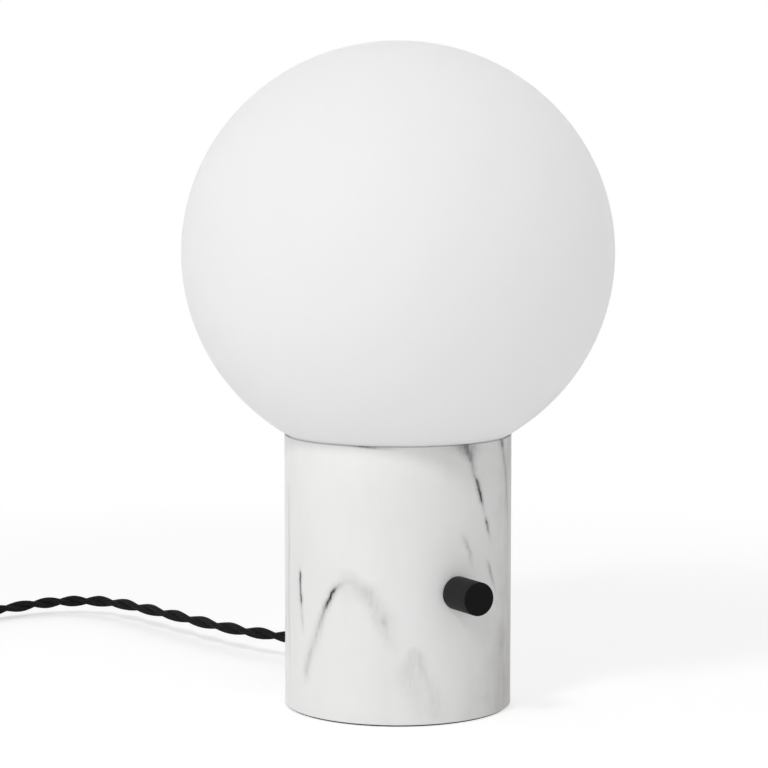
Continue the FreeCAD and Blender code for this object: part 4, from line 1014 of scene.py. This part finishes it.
pieceFinishes = [
    (globePiece, "opalGlass", "opal_glass", "globe", ["glass_globe"]),
    (stonePiece, "whiteStone", "stone", "lamp_base", ["stone_base"]),
    (knobPiece, "knobPlastic", "black_plastic", "knob", ["dimmer_knob"]),
    (twistedCord, "braidedCloth", "black_cloth", "lamp_base", ["cord_lead", "cord_coil"]),
    (innerCord, "braidedCloth", "black_cloth", "lamp_base", ["cord_inner"]),
    (strap, "blackPlastic", "black_cloth", "lamp_base", ["coil_tie"]),
    (plugGuard, "blackPlastic", "black_plastic", "lamp_base", ["plug_guard"]),
    (plugShell, "blackPlastic", "black_plastic", "lamp_base", ["plug_body"]),
    (reliefPiece, "blackPlastic", "black_plastic", "lamp_base", ["cord_gland"]),
]
for piece, finish, slot, body, replaced in pieceFinishes:
    wears(piece, finish)
    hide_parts(*replaced)
    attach(piece, body)


# Floor, world and lights

studio = {
    "key": {"place": (-1.399, -0.744, 1.538), "size": 0.30, "power": 12.8},
    "fill": {"place": (-1.98, -0.90, 0.28), "size": 1.6, "power": 9.2},
    "rim": {"place": (0.9, -0.2, 1.9), "size": 1.6, "power": 1.6},
    "aim": (0, 0, 0.18), "sky": 0.56, "floorTone": (0.96, 0.96, 0.96), "plainLight": 0.76,
}
# How much of the real shading the floor shows: "share" goes from the left of the lamp to its right,
# and the shading fades out round "middle".
floorShade = {"aside": (-0.10, 0.05), "share": (0.9, 0.46), "middle": (0.02, 0.08),
              "fade": (0.33, 0.75)}


def whiteRay(tree):
    # 1 for a ray that meets the background straight from the camera, in a mirror or through glass.
    node = tree.add("ShaderNodeLightPath").socket.node
    rays = [Signal(tree, node.outputs[name])
            for name in ("Is Camera Ray", "Is Glossy Ray", "Is Transmission Ray")]
    return rays[0].larger(rays[1]).larger(rays[2])


def floorFinish():
    # The camera sees the lit floor white, and the shadows on it by the share of the real shading.
    finish = Finish("floor", Base_Color=studio["floorTone"], Roughness=0.9, Specular_IOR_Level=0)
    x, y = finish.parts(finish.place())[:2]
    heading = math.radians(camera["heading"])
    aside = x * math.cos(heading) + y * math.sin(heading)
    away = ((x - floorShade["middle"][0]) ** 2 + (y - floorShade["middle"][1]) ** 2) ** 0.5
    real = (finish.grade(aside, *floorShade["aside"], *floorShade["share"])
            * finish.grade(away, *floorShade["fade"], 1, 0))
    bright = (1 - real * studio["plainLight"]) / (1 - real)
    glow = finish.add("ShaderNodeEmission", None, finish.grey(bright), 1.0)
    finish.mixIn((1 - real) * whiteRay(finish), glow)
    return finish.material


selectNothing()
bpy.ops.mesh.primitive_plane_add(size=12, location=(0, 0, 0))
floor = bpy.context.object
floor.name = "floor"
floor.data.materials.append(floorFinish())

world = bpy.data.worlds.new("studio")
scene.world = world
world.use_nodes = True
sky = Nodes(world.node_tree)
background = sky.find("BACKGROUND")
sky.put(background.inputs["Color"], (1, 1, 1))
sky.put(background.inputs["Strength"], sky.grade(whiteRay(sky), 0, 1, studio["sky"], 1.0))

for label in ("key", "fill", "rim"):
    light = studio[label]
    selectNothing()
    towards = Vector(studio["aim"]) - Vector(light["place"])
    bpy.ops.object.light_add(type="AREA", location=light["place"],
                             rotation=towards.to_track_quat("-Z", "Y").to_euler())
    lamp = bpy.context.object
    lamp.name = label + "Light"
    lamp.data.size = light["size"]
    lamp.data.energy = light["power"]
print("studio set")
